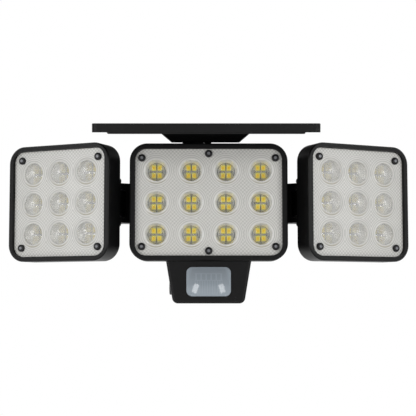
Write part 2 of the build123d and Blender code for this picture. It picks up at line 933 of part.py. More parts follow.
def wall_bracket():
    """Pressed steel channel: a plate for the wall and two flanges over the cover's block."""
    seat = block_height / 2 + flange_fit
    height = 2 * (seat + flange_thickness)
    outline = rounded(plate_width, height, plate_corner)
    for x, z in grid(2, 2, wall_hole_pitch_x, wall_hole_pitch_z):
        outline -= disc(x, z, wall_hole_radius)
    bracket = along_y(outline, -plate_thickness, 0)
    front = cover_rear + flange_front_gap
    for side in (-1, 1):
        flange = Pos(0, side * (seat + flange_thickness / 2)) * Rectangle(flange_width, flange_thickness)
        bracket += along_y(flange, front, -plate_thickness)
    hole = Pos(0, lock_screw_y()) * Circle(lock_screw_size / 2 + screw_clearance)
    bracket -= along_z(hole, -height / 2, height / 2)
    return bracket


def bracket_lock_screws():
    seat = block_height / 2 + flange_fit + flange_thickness
    screw = pan_screw(lock_screw_size, lock_screw_head, lock_screw_head_height, lock_screw_length)
    top = Pos(0, lock_screw_y(), seat) * Rot(-90, 0, 0) * screw
    bottom = Pos(0, lock_screw_y(), -seat) * Rot(90, 0, 0) * screw
    return group([top, bottom])


def build_rear():
    save("rear_cover", rear_cover())
    save("rear_cover_seal", cover_seal())
    save("rear_cover_screws", cover_screws())
    save("wall_bracket", wall_bracket())
    save("bracket_lock_screws", bracket_lock_screws())


# Battery and control board


def holder_reach():
    """Half the length inside the battery holder's end walls."""
    return cell_length / 2 + cell_nub_height / 2 + contact_thickness


def cell_heights():
    return [battery_high - cell_radius, battery_low + cell_radius]


def cell_y():
    return body_inner_front + holder_base + cell_radius


def battery_cells():
    """Two round cells side by side, each with a raised positive end."""
    cells = []
    for z in cell_heights():
        left = -holder_reach() + contact_thickness
        barrel = along_x(disc(cell_y(), z, cell_radius), left, left + cell_length)
        barrel = fillet(barrel.edges(), cell_round)
        nub_start = left + cell_length
        nub = along_x(disc(cell_y(), z, cell_nub_radius), nub_start, nub_start + cell_nub_height)
        cells.append(barrel + nub)
    return group(cells)


def battery_holder():
    """Tray with two end walls and a low rib between the cells."""
    end = holder_reach() + holder_end
    middle = (battery_low + battery_high) / 2
    height = battery_high - battery_low
    base = Pos(0, middle) * Rectangle(2 * end, height)
    holder = along_y(base, body_inner_front, body_inner_front + holder_base)
    wall_end = body_inner_front + holder_base + holder_end_height
    for side in (-1, 1):
        wall = Pos(side * (end - holder_end / 2), middle) * Rectangle(holder_end, height)
        holder += along_y(wall, body_inner_front, wall_end)
    rib = Pos(0, middle) * Rectangle(holder_rib_length, cell_gap)
    holder += along_y(rib, body_inner_front, cell_y())
    return holder


def battery_contacts():
    """Plated end plates, each with a tab below the holder for a lead."""
    front = body_inner_front + holder_base
    rear = front + holder_end_height
    middle = (battery_low + battery_high) / 2
    plates = []
    for side in (-1, 1):
        outer = side * holder_reach()
        inner = side * (holder_reach() - contact_thickness)
        tall = Pos((front + rear) / 2, middle) * Rectangle(rear - front, battery_high - battery_low)
        tab = Pos(lead_y(), battery_low) * Rectangle(contact_tab_width, 2 * contact_tab)
        plates.append(along_x(tall + tab, min(inner, outer), max(inner, outer)))
    return group(plates)


def control_front():
    return body_inner_front + control_setback


def control_rear():
    return control_front() + board_thickness


def lead_y():
    """Place of the battery leads, in the middle of the terminals on the board."""
    return control_rear() + socket_depth / 2


def control_board():
    outline = Pos(0, control_centre) * Rectangle(control_width, control_height)
    for x, z in control_post_places():
        outline -= disc(x, z, board_screw_size / 2 + screw_clearance)
    return along_y(outline, control_front(), control_rear())


def upright_part(x, z, radius, height):
    return along_y(disc(x, z, radius), control_rear(), control_rear() + height)


def flat_part(x, z, width, height, depth):
    outline = Pos(x, z) * Rectangle(width, height)
    return along_y(outline, control_rear(), control_rear() + depth)


def control_parts():
    """Capacitors, coil, chips, power transistors and the battery terminals."""
    middle = control_centre
    parts = [upright_part(0, middle, coil_radius, coil_height)]
    capacitor_x = coil_radius + part_gap + capacitor_radius
    for x in (-capacitor_x, -capacitor_x - 2 * capacitor_radius - part_gap):
        parts.append(upright_part(x, middle, capacitor_radius, capacitor_height))
    logic_x = coil_radius + part_gap + logic_width / 2
    for z in (middle - logic_pitch / 2, middle + logic_pitch / 2):
        parts.append(flat_part(logic_x, z, logic_width, logic_height, logic_depth))
    power_x = logic_x + logic_width / 2 + part_gap + power_width / 2
    for x in (power_x, power_x + power_width + part_gap):
        parts.append(flat_part(x, middle, power_width, power_height, power_depth))
    for side in (-1, 1):
        x = side * (holder_reach() - contact_thickness / 2)
        parts.append(flat_part(x, middle, socket_height, socket_height, socket_depth))
    front_socket = Pos(0, control_low + socket_height / 2) * Rectangle(socket_width, socket_height)
    parts.append(along_y(front_socket, control_front() - socket_depth, control_front()))
    return group(parts)


def control_leads():
    """Straight leads of the control board: to the battery tabs and to the centre lamp board."""
    terminal_top = control_centre + socket_height / 2
    tab_end = battery_low - contact_tab
    x, z = centre_plan().lead_hole
    start = front_plane + led_board_back
    leads = []
    for side in (-1, 1):
        tab_x = side * (holder_reach() - contact_thickness / 2)
        leads.append(along_z(Pos(tab_x, lead_y()) * Circle(lead_radius), terminal_top, tab_end))
        leads.append(along_y(disc(x + side * lead_spread / 2, z, lead_radius), start, control_front()))
    return group(leads)


def build_electrics():
    save("battery_cells", battery_cells())
    save("battery_holder", battery_holder())
    save("battery_contacts", battery_contacts())
    save("control_board", control_board())
    save("control_board_parts", control_parts())
    save("control_leads", control_leads())


# Sensor housing


def sensor_outline(inset=0.0):
    """Front view of the sensor housing, wider at the top, with round lower corners."""
    top = sensor_top_width / 2
    low = sensor_bottom_width / 2
    corners = [(-low, sensor_bottom), (low, sensor_bottom), (top, sensor_top), (-top, sensor_top)]
    outline = Polygon(*corners, align=None)
    outline = fillet(outline.vertices().sort_by(Axis.Y)[:2], sensor_corner)
    if inset:
        outline = offset(outline, -inset)
    return outline


def half_width_at(z):
    """Half the outer width of the sensor housing at a height."""
    slope = (sensor_top_width - sensor_bottom_width) / 2 / sensor_height
    return sensor_top_width / 2 - slope * (sensor_top - z)


def sensor_inner_front():
    return sensor_front + sensor_wall


def sensor_board_front():
    return sensor_front + sensor_board_setback


def window_z():
    return sensor_top - window_drop


def button_centre():
    return sensor_front + button_setback, sensor_top - button_drop


def sensor_cover_screw_places():
    high = sensor_top - sensor_wall - sensor_boss_top_inset
    low = sensor_bottom + sensor_boss_bottom_inset
    return [(side * (half_width_at(z) - sensor_boss_side_gap), z) for z in (high, low) for side in (-1, 1)]


def sensor_post_places():
    z = sensor_top - window_drop + sensor_post_rise
    return [(side * sensor_post_x, z) for side in (-1, 1)]


def sensor_neck_outline(inset=0.0):
    """Plan of the neck that joins the sensor housing to the underside of the body."""
    front = body_front + neck_front_gap + inset
    rear = body_front + neck_front_gap + neck_depth - inset
    return Pos(0, (front + rear) / 2) * Rectangle(neck_width - 2 * inset, rear - front)


def sensor_housing():
    """Moulded shell, open at the back, with window, button and light-guide holes."""
    shell = along_y(sensor_outline(), sensor_front, sensor_rear)
    front_edges = shell.faces().sort_by(Axis.Y)[0].edges().sort_by(Axis.Z)
    shell = fillet(front_edges[:-1], sensor_front_round)
    shell += along_z(sensor_neck_outline(), sensor_top, body_bottom)
    shell -= along_y(sensor_outline(sensor_wall), sensor_inner_front(), sensor_rear)
    shell -= along_z(sensor_neck_outline(sensor_wall), sensor_top - 2 * sensor_wall, body_bottom - sensor_wall)
    for x, y in neck_screw_places():
        boss = Pos(x, y) * Circle(neck_boss_radius)
        shell += along_z(boss, body_bottom - neck_boss_length, body_bottom)
        pilot = Pos(x, y) * Circle(case_screw_size / 2 + thread_gap)
        shell -= along_z(pilot, body_bottom - neck_boss_length, body_bottom)
    shell -= along_z(Pos(0, passage_y()) * Circle(passage_radius), body_bottom - sensor_wall, body_bottom)
    for x, z in sensor_cover_screw_places():
        shell += along_y(disc(x, z, sensor_boss_radius), sensor_rear - sensor_boss_length, sensor_rear)
        pilot = case_screw_size / 2 + thread_gap
        shell -= along_y(disc(x, z, pilot), sensor_rear - sensor_boss_length, sensor_rear)
    for x, z in sensor_post_places():
        shell += along_y(disc(x, z, sensor_post_radius), sensor_inner_front(), sensor_board_front())
        pilot = board_screw_size / 2 + thread_gap
        shell -= along_y(disc(x, z, pilot), sensor_board_front() - board_screw_length, sensor_board_front())
    opening = rounded(window_width, window_height, window_corner, 0, window_z())
    shell -= along_y(opening, sensor_front, sensor_inner_front())
    y, z = button_centre()
    reach = half_width_at(z + button_radius)
    shell -= along_x(disc(y, z, button_radius + button_gap), -reach, button_flange_left())
    guide_z = sensor_top - guide_drop
    shell -= along_y(disc(guide_x, guide_z, guide_tip_radius + guide_gap), sensor_front, sensor_inner_front())
    return shell


def sensor_window():
    """Milky Fresnel window: a bulged skin with a flange behind the front wall."""
    z = window_z()
    width = window_width - 2 * window_fit
    height = window_height - 2 * window_fit
    corner = window_corner - window_fit
    half_diagonal = (width**2 + height**2) ** 0.5 / 2
    ball_radius = (half_diagonal**2 + window_bulge**2) / (2 * window_bulge)
    centre_y = sensor_front - window_bulge + ball_radius
    outer = along_y(rounded(width, height, corner, 0, z), sensor_front - 2 * window_bulge, sensor_inner_front())
    outer &= Pos(0, centre_y, z) * Sphere(ball_radius)
    skin = window_skin
    inner_shape = rounded(width - 2 * skin, height - 2 * skin, corner - skin, 0, z)
    flange_rear = sensor_inner_front() + window_flange_thickness
    inner = along_y(inner_shape, sensor_front - 2 * window_bulge, flange_rear)
    inner &= Pos(0, centre_y, z) * Sphere(ball_radius - skin)
    border = rounded(width + 2 * window_flange, height + 2 * window_flange, corner + window_flange, 0, z)
    flange = along_y(border, sensor_inner_front(), flange_rear)
    return outer + flange - inner


def sensor_board():
    z = sensor_top - sensor_board_drop
    outline = Pos(0, z) * Rectangle(sensor_board_width, sensor_board_height)
    for post_x, post_z in sensor_post_places():
        outline -= disc(post_x, post_z, board_screw_size / 2 + screw_clearance)
    front = sensor_board_front()
    board = along_y(outline, front, front + board_thickness)
    socket = Pos(0, z) * Rectangle(socket_width, socket_height)
    rear = front + board_thickness
    return group([board, along_y(socket, rear, rear + socket_depth)])


def motion_sensor():
    """Round metal can with a small square window in its end."""
    rear = sensor_board_front()
    front = rear - motion_can_height
    can = along_y(disc(0, window_z(), motion_can_radius), front, rear)
    rim = along_y(disc(0, window_z(), motion_can_radius + motion_rim), rear - motion_rim_height, rear)
    opening = rounded(motion_window_width, motion_window_height, motion_window_corner, 0, window_z())
    return can + rim - along_y(opening, front, front + motion_window_depth)


def light_guide():
    """Clear pin from the hole under the window to the daylight sensor on the board."""
    z = sensor_top - guide_drop
    shoulder = sensor_inner_front() + guide_gap
    tip = along_y(disc(guide_x, z, guide_tip_radius), sensor_front + guide_recess, shoulder)
    return tip + along_y(disc(guide_x, z, guide_radius), shoulder, sensor_board_front())


def switch_left():
    """Left face of the push switch."""
    return button_flange_left() + button_flange_thickness + stem_length + plunger_reach


def switch_body():
    y, z = button_centre()
    left = switch_left()
    y_rear = sensor_board_front() + board_thickness + switch_size
    outline = Pos(y_rear - switch_size / 2, z) * Rectangle(switch_size, switch_size)
    body = along_x(outline, left, left + switch_depth)
    return body - along_x(disc(y, z, plunger_radius + plunger_gap), left, left + plunger_seat + button_travel)


def switch_plunger():
    y, z = button_centre()
    left = switch_left()
    return along_x(disc(y, z, plunger_radius), left - plunger_reach, left + plunger_seat)


def button_flange_left():
    y, z = button_centre()
    return -half_width_at(z) + button_flange_inset - sensor_wall


def mode_button():
    """Round rubber-covered button with a flange inside the wall and a stem to the switch."""
    y, z = button_centre()
    face = -half_width_at(z) - button_proud
    flange_left = button_flange_left()
    flange_right = flange_left + button_flange_thickness
    cap = along_x(disc(y, z, button_radius), face, flange_left)
    cap = fillet(cap.faces().sort_by(Axis.X)[0].edges(), button_edge)
    flange = along_x(disc(y, z, button_radius + button_flange), flange_left, flange_right)
    stem = along_x(disc(y, z, stem_radius), flange_right, flange_right + stem_length)
    return cap + flange + stem


def sensor_rear_cover():
    plate = along_y(sensor_outline(), sensor_rear, sensor_rear + sensor_cover_thickness)
    for x, z in sensor_cover_screw_places():
        hole = case_screw_size / 2 + screw_clearance
        plate -= along_y(disc(x, z, hole), sensor_rear, sensor_rear + sensor_cover_thickness)
    return plate


def sensor_case_screws():
    """Equal screws: four for the housing's rear cover, two for its neck from inside the body."""
    back = sensor_rear + sensor_cover_thickness
    screw = case_screw(sensor_screw_length)
    screws = [Pos(x, back, z) * Rot(0, 0, 180) * screw for x, z in sensor_cover_screw_places()]
    seat = body_bottom + body_wall
    screws += [Pos(x, y, seat) * Rot(-90, 0, 0) * screw for x, y in neck_screw_places()]
    return group(screws)


def board_screws():
    """Small screws of the control board and the sensor board."""
    turned = Rot(0, 0, 180) * board_screw()
    screws = [Pos(x, control_rear(), z) * turned for x, z in control_post_places()]
    back = sensor_board_front() + board_thickness
    screws += [Pos(x, back, z) * turned for x, z in sensor_post_places()]
    return group(screws)


def sensor_leads():
    """Three leads from the control board down through the neck to the sensor board."""
    start_y = control_front() - socket_depth / 2
    start_z = control_low
    end_y = sensor_board_front() + board_thickness + socket_depth / 2
    end_z = sensor_top - sensor_board_drop + socket_height / 2
    bend_z = body_bottom - sensor_wall - 2 * lead_bend
    low_z = end_z + lead_bend
    leads = []
    for number in (-1, 0, 1):
        x = number * lead_spread
        route = FilletPolyline(
            (x, start_y, start_z),
            (x, start_y, bend_z),
            (x, end_y, low_z),
            (x, end_y, end_z),
            radius=lead_bend / 2,
        )
        profile = Plane(origin=route @ 0, z_dir=route % 0) * Circle(lead_radius)
        leads.append(sweep(profile, path=route))
    return group(leads)


def build_sensor():
    save("sensor_housing", sensor_housing())
    save("sensor_window", sensor_window())
    save("sensor_board", sensor_board())
    save("motion_sensor", motion_sensor())
    save("light_guide", light_guide())
    save("mode_switch", switch_body())
    save("switch_plunger", switch_plunger())
    save("mode_button", mode_button())
    save("sensor_rear_cover", sensor_rear_cover())
    save("sensor_case_screws", sensor_case_screws())
    save("board_screws", board_screws())
    save("sensor_leads", sensor_leads())


# Solar panel, modelled level about the hinge axis and then tilted


def panel_outline(inset, corner):
    width = panel_width - 2 * inset
    depth = panel_front + panel_back - 2 * inset
    y = (panel_back - panel_front) / 2
    return rounded(width, depth, corner, panel_centre_x, y)


def panel_top():
    return panel_underside + panel_edge


def tray_floor():
    return panel_top() - panel_rim_drop - glazing_thickness - cell_thickness - backing_thickness


def panel_tray():
    """Shallow tray with a raised back for the cell sheet."""
    tray = along_z(panel_outline(0, panel_corner), panel_underside, panel_top())
    tray = chamfer(tray.faces().sort_by(Axis.Z)[-1].edges(), panel_edge_bevel)
    swell = along_z(panel_outline(swell_inset, panel_corner), panel_underside - swell_depth, panel_underside)
    swell = chamfer(swell.faces().sort_by(Axis.Z)[0].edges(), swell_bevel)
    tray += swell
    tray -= along_z(panel_outline(panel_rim, panel_corner / 2), tray_floor(), panel_top())
    lead = Pos(box_centre_x, 0) * Circle(lead_hole_radius)
    tray -= along_z(lead, panel_underside - swell_depth, tray_floor())
    for x, y in box_screw_places():
        hole = Pos(x, y) * Circle(case_screw_size / 2 + thread_gap)
        tray -= along_z(hole, panel_underside - swell_depth, tray_floor())
    return tray


def sheet_outline():
    return panel_outline(panel_rim + sheet_gap, panel_corner / 2)


def solar_backing():
    return along_z(sheet_outline(), tray_floor(), tray_floor() + backing_thickness)


def solar_cells():
    """Even rows of cells with narrow gaps between them."""
    width = panel_width - 2 * (panel_rim + sheet_gap + cell_margin)
    depth = panel_front + panel_back - 2 * (panel_rim + sheet_gap + cell_margin)
    pitch_x = (width + cell_spacing) / cell_columns
    pitch_y = (depth + cell_spacing) / cell_rows
    low = tray_floor() + backing_thickness
    centre_y = (panel_back - panel_front) / 2
    cells = []
    for x, y in grid(cell_columns, cell_rows, pitch_x, pitch_y):
        outline = Rectangle(pitch_x - cell_spacing, pitch_y - cell_spacing)
        place = Pos(panel_centre_x + x, centre_y + y)
        cells.append(along_z(place * outline, low, low + cell_thickness))
    return group(cells)


def solar_glazing():
    low = tray_floor() + backing_thickness + cell_thickness
    return along_z(sheet_outline(), low, low + glazing_thickness)


def box_top():
    return panel_underside - swell_depth


def box_section(height, inset, corner):
    """Section of the tapered junction box at a height above the hinge axis."""
    share = (height - box_bottom_height) / (box_top() - box_bottom_height)
    width = box_bottom_width + (box_top_width - box_bottom_width) * share - 2 * inset
    depth = box_bottom_depth + (box_top_depth - box_bottom_depth) * share - 2 * inset
    return Pos(box_centre_x, 0, height) * RectangleRounded(width, depth, corner)


def box_screw_places():
    x = box_bottom_width / 2 - box_boss_inset
    y = box_bottom_depth / 2 - box_boss_inset
    return [(box_centre_x + a * x, b * y) for a in (-1, 1) for b in (-1, 1)]


def junction_box():
    """Tapered box under the tray, with screw bosses and the hinge lug."""
    outer = loft([box_section(height, 0, box_corner) for height in (box_bottom_height, box_top())])
    floor_height = box_bottom_height + box_wall
    inner = loft([box_section(height, box_wall, box_inner_corner) for height in (floor_height, box_top())])
    box = outer - inner
    for x, y in box_screw_places():
        post = along_z(Pos(x, y) * Circle(box_boss_radius), box_bottom_height, box_top())
        box += post & outer
    lug_half = fork_gap / 2 - lug_play
    rise = box_bottom_height + box_wall / 2
    lug = Pos(0, rise / 2) * Rectangle(2 * fork_radius, rise) + Circle(fork_radius)
    box += along_x(lug, fork_centre_x - lug_half, fork_centre_x + lug_half)
    bore = tilt_bolt_size / 2 + pin_play
    box -= along_x(Circle(bore), fork_centre_x - lug_half, fork_centre_x + lug_half)
    for x, y in box_screw_places():
        hole = Pos(x, y) * Circle(case_screw_size / 2 + screw_clearance)
        box -= along_z(hole, 0, box_top())
        seat = Pos(x, y) * Circle(case_screw_head / 2 + screw_clearance)
        box -= along_z(seat, 0, box_screw_seat())
    lead = Pos(box_grommet_x, 0) * Circle(lead_hole_radius)
    return box - along_z(lead, box_bottom_height, floor_height)


def box_screw_seat():
    """Height of the seat of the junction-box screws."""
    return tray_floor() - box_screw_length


def junction_screws():
    screw = Rot(90, 0, 0) * case_screw(box_screw_length)
    return group(Pos(x, y, box_screw_seat()) * screw for x, y in box_screw_places())


def junction_grommet():
    """Bush in the floor of the junction box, with its flange inside."""
    return Pos(box_grommet_x, 0, box_bottom_height) * Rot(90, 0, 0) * grommet(box_wall)


def build_panel():
    place = Pos(0, tilt_axis_y, tilt_axis_z) * Rot(panel_tilt, 0, 0)
    save("panel_tray", place * panel_tray())
    save("solar_backing", place * solar_backing())
    save("solar_cells", place * solar_cells())
    save("solar_glazing", place * solar_glazing())
    save("junction_box", place * junction_box())
    save("junction_screws", place * junction_screws())
    save("junction_grommet", place * junction_grommet())


os.makedirs("parts", exist_ok=True)
build_heads()
build_body()
build_rear()
build_electrics()
build_sensor()
build_panel()
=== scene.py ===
"""Solar street light: surfaces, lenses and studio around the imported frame."""

import json
import math

import bmesh
import bpy
from mathutils import Euler, Matrix, Vector


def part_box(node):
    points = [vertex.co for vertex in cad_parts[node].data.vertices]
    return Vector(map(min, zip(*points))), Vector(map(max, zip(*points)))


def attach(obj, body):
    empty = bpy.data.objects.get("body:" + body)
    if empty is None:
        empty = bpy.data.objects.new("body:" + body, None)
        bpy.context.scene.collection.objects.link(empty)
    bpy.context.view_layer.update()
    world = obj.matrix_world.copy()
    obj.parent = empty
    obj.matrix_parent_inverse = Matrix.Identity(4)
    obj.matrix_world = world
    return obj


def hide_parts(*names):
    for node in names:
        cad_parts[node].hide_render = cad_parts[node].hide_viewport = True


bl_info = {
    "name": "Solar Street Light",
    "version": (1, 0, 0),
    "blender": (4, 5, 0),
    "location": "3D View > Sidebar > Street Light",
    "description": "Builds the lenses, chips, finishes and studio of a solar street light",
    "category": "Object",
}

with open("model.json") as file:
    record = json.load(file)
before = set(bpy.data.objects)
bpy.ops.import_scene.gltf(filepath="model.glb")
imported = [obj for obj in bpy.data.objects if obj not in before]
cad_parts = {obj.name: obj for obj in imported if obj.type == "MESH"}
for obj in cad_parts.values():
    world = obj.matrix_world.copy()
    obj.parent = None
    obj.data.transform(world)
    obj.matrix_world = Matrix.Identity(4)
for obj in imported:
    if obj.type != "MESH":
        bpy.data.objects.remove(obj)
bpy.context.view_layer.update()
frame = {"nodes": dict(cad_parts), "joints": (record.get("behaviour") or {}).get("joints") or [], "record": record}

MM = 0.001
SHELL_GRAIN = 0.35 * MM
PLATE_CORNER = 8.3 * MM
SCREW_RISE = 2 * MM
CHIP_RISE = 0.75 * MM
CELL_COLUMNS = 6
CELL_SPACING = 1.4 * MM

# Lens screws, inwards from the edges of their plate
SCREW_INSET = 6.8 * MM
CENTRE_SCREW_INSET_X = 5 * MM
CENTRE_MIDDLE_INSET = 3.5 * MM

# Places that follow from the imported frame
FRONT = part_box("centre_head_housing")[0].y
HEAD_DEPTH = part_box("centre_head_housing")[1].y - FRONT
HINGE = {joint["name"]: Vector(joint["pos_m"]) for joint in frame["joints"] if "pos_m" in joint}
BOARD_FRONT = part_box("centre_led_board")[0].y - FRONT

# A side head against its hinge axis
SIDE_YAW = math.radians(25)
SIDE_ARM = 34.5 * MM
SIDE_SETBACK = 13 * MM


class HeadLayout:
    """Where a lamp head stands, the size of its plate, and the grids of its lenses and screws."""

    def __init__(self, name, body, matrix, width, height, lenses, screws):
        self.name = name
        self.body = body
        self.matrix = matrix
        self.width = width
        self.height = height
        self.lenses = lenses
        self.screws = screws


def grid_places(columns, rows, pitch_x, pitch_z):
    """Centres of an even grid about the middle of a head."""
    places = []
    for row in range(rows):
        for column in range(columns):
            x = (column - (columns - 1) / 2) * pitch_x
            z = (row - (rows - 1) / 2) * pitch_z
            places.append((x, z))
    return places


def side_matrix(side, joint):
    """Frame of a side head: its pivot on the hinge axis, turned outwards."""
    pivot = Matrix.Translation((HINGE[joint].x, HINGE[joint].y, 0))
    inwards = Matrix.Translation((side * SIDE_ARM, -(HEAD_DEPTH + SIDE_SETBACK), 0))
    return pivot @ Matrix.Rotation(side * SIDE_YAW, 4, "Z") @ inwards


def head_layouts(sizes):
    """The three heads, from the frame and from the sizes in the sidebar."""
    low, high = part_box("centre_optic_plate")
    wide, tall = high.x - low.x, high.z - low.z
    low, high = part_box("left_optic_plate")
    square = high.z - low.z
    centre_lenses = (4, 3, sizes.centre_pitch_x, sizes.centre_pitch_z)
    corners = (2, 2, wide - 2 * CENTRE_SCREW_INSET_X, tall - 2 * SCREW_INSET)
    centre_screws = [corners, (1, 2, 0, tall - 2 * CENTRE_MIDDLE_INSET)]
    side_lenses = (3, 3, sizes.side_pitch_x, sizes.side_pitch_z)
    side_screws = [(2, 2, square - 2 * SCREW_INSET, square - 2 * SCREW_INSET)]
    left, right = side_matrix(-1, "left_head_yaw"), side_matrix(1, "right_head_yaw")
    centre = Matrix.Translation((0, FRONT, 0))
    return [
        HeadLayout("centre", "main_body", centre, wide, tall, centre_lenses, centre_screws),
        HeadLayout("left", "left_head", left, square, square, side_lenses, side_screws),
        HeadLayout("right", "right_head", right, square, square, side_lenses, side_screws),
    ]


class LensSizes(bpy.types.PropertyGroup):
    """Sizes of the lenses and of the chips under them"""

    radius: bpy.props.FloatProperty(
        name="Lens radius", description="Radius of a lens where it meets the plate",
        default=8.5 * MM, unit="LENGTH")
    dome: bpy.props.FloatProperty(
        name="Dome height", description="Height of the dome over the plate",
        default=3.5 * MM, unit="LENGTH")
    mouth: bpy.props.FloatProperty(
        name="Clear radius", description="Radius of the clear opening under a lens",
        default=8.3 * MM, unit="LENGTH")
    foot: bpy.props.FloatProperty(
        name="Cup foot radius", description="Inner radius of the cup at the lamp board",
        default=6.9 * MM, unit="LENGTH")
    ridge_reach: bpy.props.FloatProperty(
        name="Ridge reach", description="Outer radius of the ridges round a lens",
        default=13.0 * MM, unit="LENGTH")
    ridge_pitch: bpy.props.FloatProperty(
        name="Ridge pitch", description="Distance from one ridge to the next",
        default=1.1 * MM, unit="LENGTH")
    recess: bpy.props.FloatProperty(
        name="Plate recess", description="Depth of the plate behind the head's front",
        default=3.0 * MM, unit="LENGTH")
    plate: bpy.props.FloatProperty(
        name="Plate thickness", description="Thickness of the optic plate",
        default=2.0 * MM, unit="LENGTH")
    centre_pitch_x: bpy.props.FloatProperty(
        name="Centre pitch X", description="Distance between lens columns of the centre head",
        default=26.8 * MM, unit="LENGTH")
    centre_pitch_z: bpy.props.FloatProperty(
        name="Centre pitch Z", description="Distance between lens rows of the centre head",
        default=24.4 * MM, unit="LENGTH")
    side_pitch_x: bpy.props.FloatProperty(
        name="Side pitch X", description="Distance between lens columns of a side head",
        default=24.0 * MM, unit="LENGTH")
    side_pitch_z: bpy.props.FloatProperty(
        name="Side pitch Z", description="Distance between lens rows of a side head",
        default=23.6 * MM, unit="LENGTH")
    chip_width: bpy.props.FloatProperty(
        name="Chip width", description="Width of a lamp chip's package",
        default=3.3 * MM, unit="LENGTH")
    chip_height: bpy.props.FloatProperty(
        name="Chip height", description="Height of a lamp chip's package",
        default=4.2 * MM, unit="LENGTH")
    chip_pitch_x: bpy.props.FloatProperty(
        name="Chip pitch X", description="Distance between the two chip columns of a lens",
        default=4.3 * MM, unit="LENGTH")
    chip_pitch_z: bpy.props.FloatProperty(
        name="Chip pitch Z", description="Distance between the two chip rows of a lens",
        default=5.7 * MM, unit="LENGTH")


class FinishColours(bpy.types.PropertyGroup):
    """Colours of the main finishes, as sRGB hex values"""

    shell: bpy.props.StringProperty(
        name="Shell", description="Black moulded shell", default="#090909")
    plate: bpy.props.StringProperty(
        name="Optic plate", description="Patterned clear plate over a white board", default="#b0afaa")
    cup: bpy.props.StringProperty(
        name="Lens cup", description="Warm white wall under a lens", default="#f8f7f2")
    phosphor: bpy.props.StringProperty(
        name="Phosphor", description="Yellow face of a lamp chip", default="#f6cc20")
    window: bpy.props.StringProperty(
        name="Sensor window", description="Milky film over the motion sensor", default="#6f7880")


# Finishes


def linear(code):
    """Linear colour, with alpha, from an sRGB hex value."""
    channels = [int(code[start:start + 2], 16) / 255 for start in (1, 3, 5)]
    channels = [c / 12.92 if c <= 0.04045 else ((c + 0.055) / 1.055) ** 2.4 for c in channels]
    return (*channels, 1.0)


def add_node(tree, kind, inputs=None, **settings):
    """Add a node with its settings, its input values and the links into it."""
    node = tree.nodes.new(kind)
    for name, value in settings.items():
        setattr(node, name, value)
    for key, value in (inputs or {}).items():
        if isinstance(value, bpy.types.NodeSocket):
            tree.links.new(value, node.inputs[key])
        else:
            node.inputs[key].default_value = value
    return node


def start_material(name):
    """Empty material with its output, and Object coordinates to draw on."""
    material = bpy.data.materials.new(name)
    material.use_nodes = True
    tree = material.node_tree
    tree.nodes.clear()
    place = add_node(tree, "ShaderNodeTexCoord").outputs["Object"]
    return material, tree, place


def close_material(tree, shader, normal=None):
    if normal is not None:
        tree.links.new(normal, shader.inputs["Normal"])
    add_node(tree, "ShaderNodeOutputMaterial", {"Surface": shader.outputs["BSDF"]})


def grainy(name, colour, variation, roughness, grain, depth, **shader_inputs):
    """Moulded or coated surface: a fine grain in its bump and a slow drift of its tone."""
    material, tree, place = start_material(name)
    drift = add_node(tree, "ShaderNodeTexNoise", {"Vector": place, "Scale": 1 / (18 * MM), "Detail": 2.0})
    tone = add_node(tree, "ShaderNodeMix", {
        0: drift.outputs["Fac"], 6: linear(colour), 7: linear(variation)}, data_type="RGBA")
    pits = add_node(tree, "ShaderNodeTexNoise", {"Vector": place, "Scale": 1 / grain, "Detail": 3.0})
    rough = add_node(tree, "ShaderNodeMapRange", {
        "Value": pits.outputs["Fac"], "To Min": roughness - 0.05, "To Max": roughness + 0.05})
    bump = add_node(tree, "ShaderNodeBump", {
        "Height": pits.outputs["Fac"], "Strength": 0.35, "Distance": depth})
    shader = add_node(tree, "ShaderNodeBsdfPrincipled", {
        "Base Color": tone.outputs[2], "Roughness": rough.outputs[0], **shader_inputs})
    close_material(tree, shader, bump.outputs[0])
    return material


def moulded_abs(colours):
    """Black ABS with a spark-eroded grain: a soft sheen along its edges and no clear reflection."""
    return grainy("ABS black spark eroded", colours.shell, "#0e0e0f", 0.38, SHELL_GRAIN, 0.05 * MM,
                  **{"Specular IOR Level": 0.18})


def powder_coat():
    """Black powder coat on steel: a slightly pebbled skin with a dull gloss."""
    return grainy("Powder coat black", "#171718", "#202022", 0.38, 0.9 * MM, 0.04 * MM)


def black_zinc():
    """Black passivated zinc on a steel screw: near black, with a soft gloss."""
    return grainy("Zinc black passivated", "#08080a", "#0e0e11", 0.3, 0.25 * MM, 0.01 * MM,
                  **{"Specular IOR Level": 0.3})


def bright_zinc():
    """Zinc plate on steel: pale and a little cloudy."""
    return grainy("Zinc bright plated", "#a9abad", "#bfc2c6", 0.3, 0.4 * MM, 0.01 * MM, Metallic=1.0)


def seal_rubber():
    """Silicone rubber cut from sheet: matt and very dark."""
    return grainy("Silicone rubber black", "#121212", "#191919", 0.7, 0.5 * MM, 0.03 * MM)


def button_rubber():
    """Moulded silicone button: dark grey and satin."""
    return grainy("Silicone rubber dark grey", "#29292b", "#323234", 0.42, 0.5 * MM, 0.02 * MM)


def circuit_board():
    """Green solder mask on glass-epoxy: the weave shows as a faint mottling."""
    return grainy("Solder mask green", "#0d4a28", "#11572f", 0.3, 0.6 * MM, 0.01 * MM)


def moulded_part():
    """Black epoxy and phenolic bodies of the parts on a board."""
    return grainy("Epoxy moulding black", "#1b1b1d", "#27272a", 0.5, 0.3 * MM, 0.02 * MM)


def lead_sleeve():
    """Red PVC sleeve on stranded copper: waxy gloss."""
    return grainy("PVC sleeve red", "#8f1d18", "#a3241d", 0.35, 0.6 * MM, 0.02 * MM)


def shrink_sleeve():
    """Blue PVC shrink sleeve on a cell: glossy and faintly wrinkled."""
    return grainy("PVC shrink sleeve blue", "#1d4f8f", "#245ba1", 0.22, 2.5 * MM, 0.05 * MM)


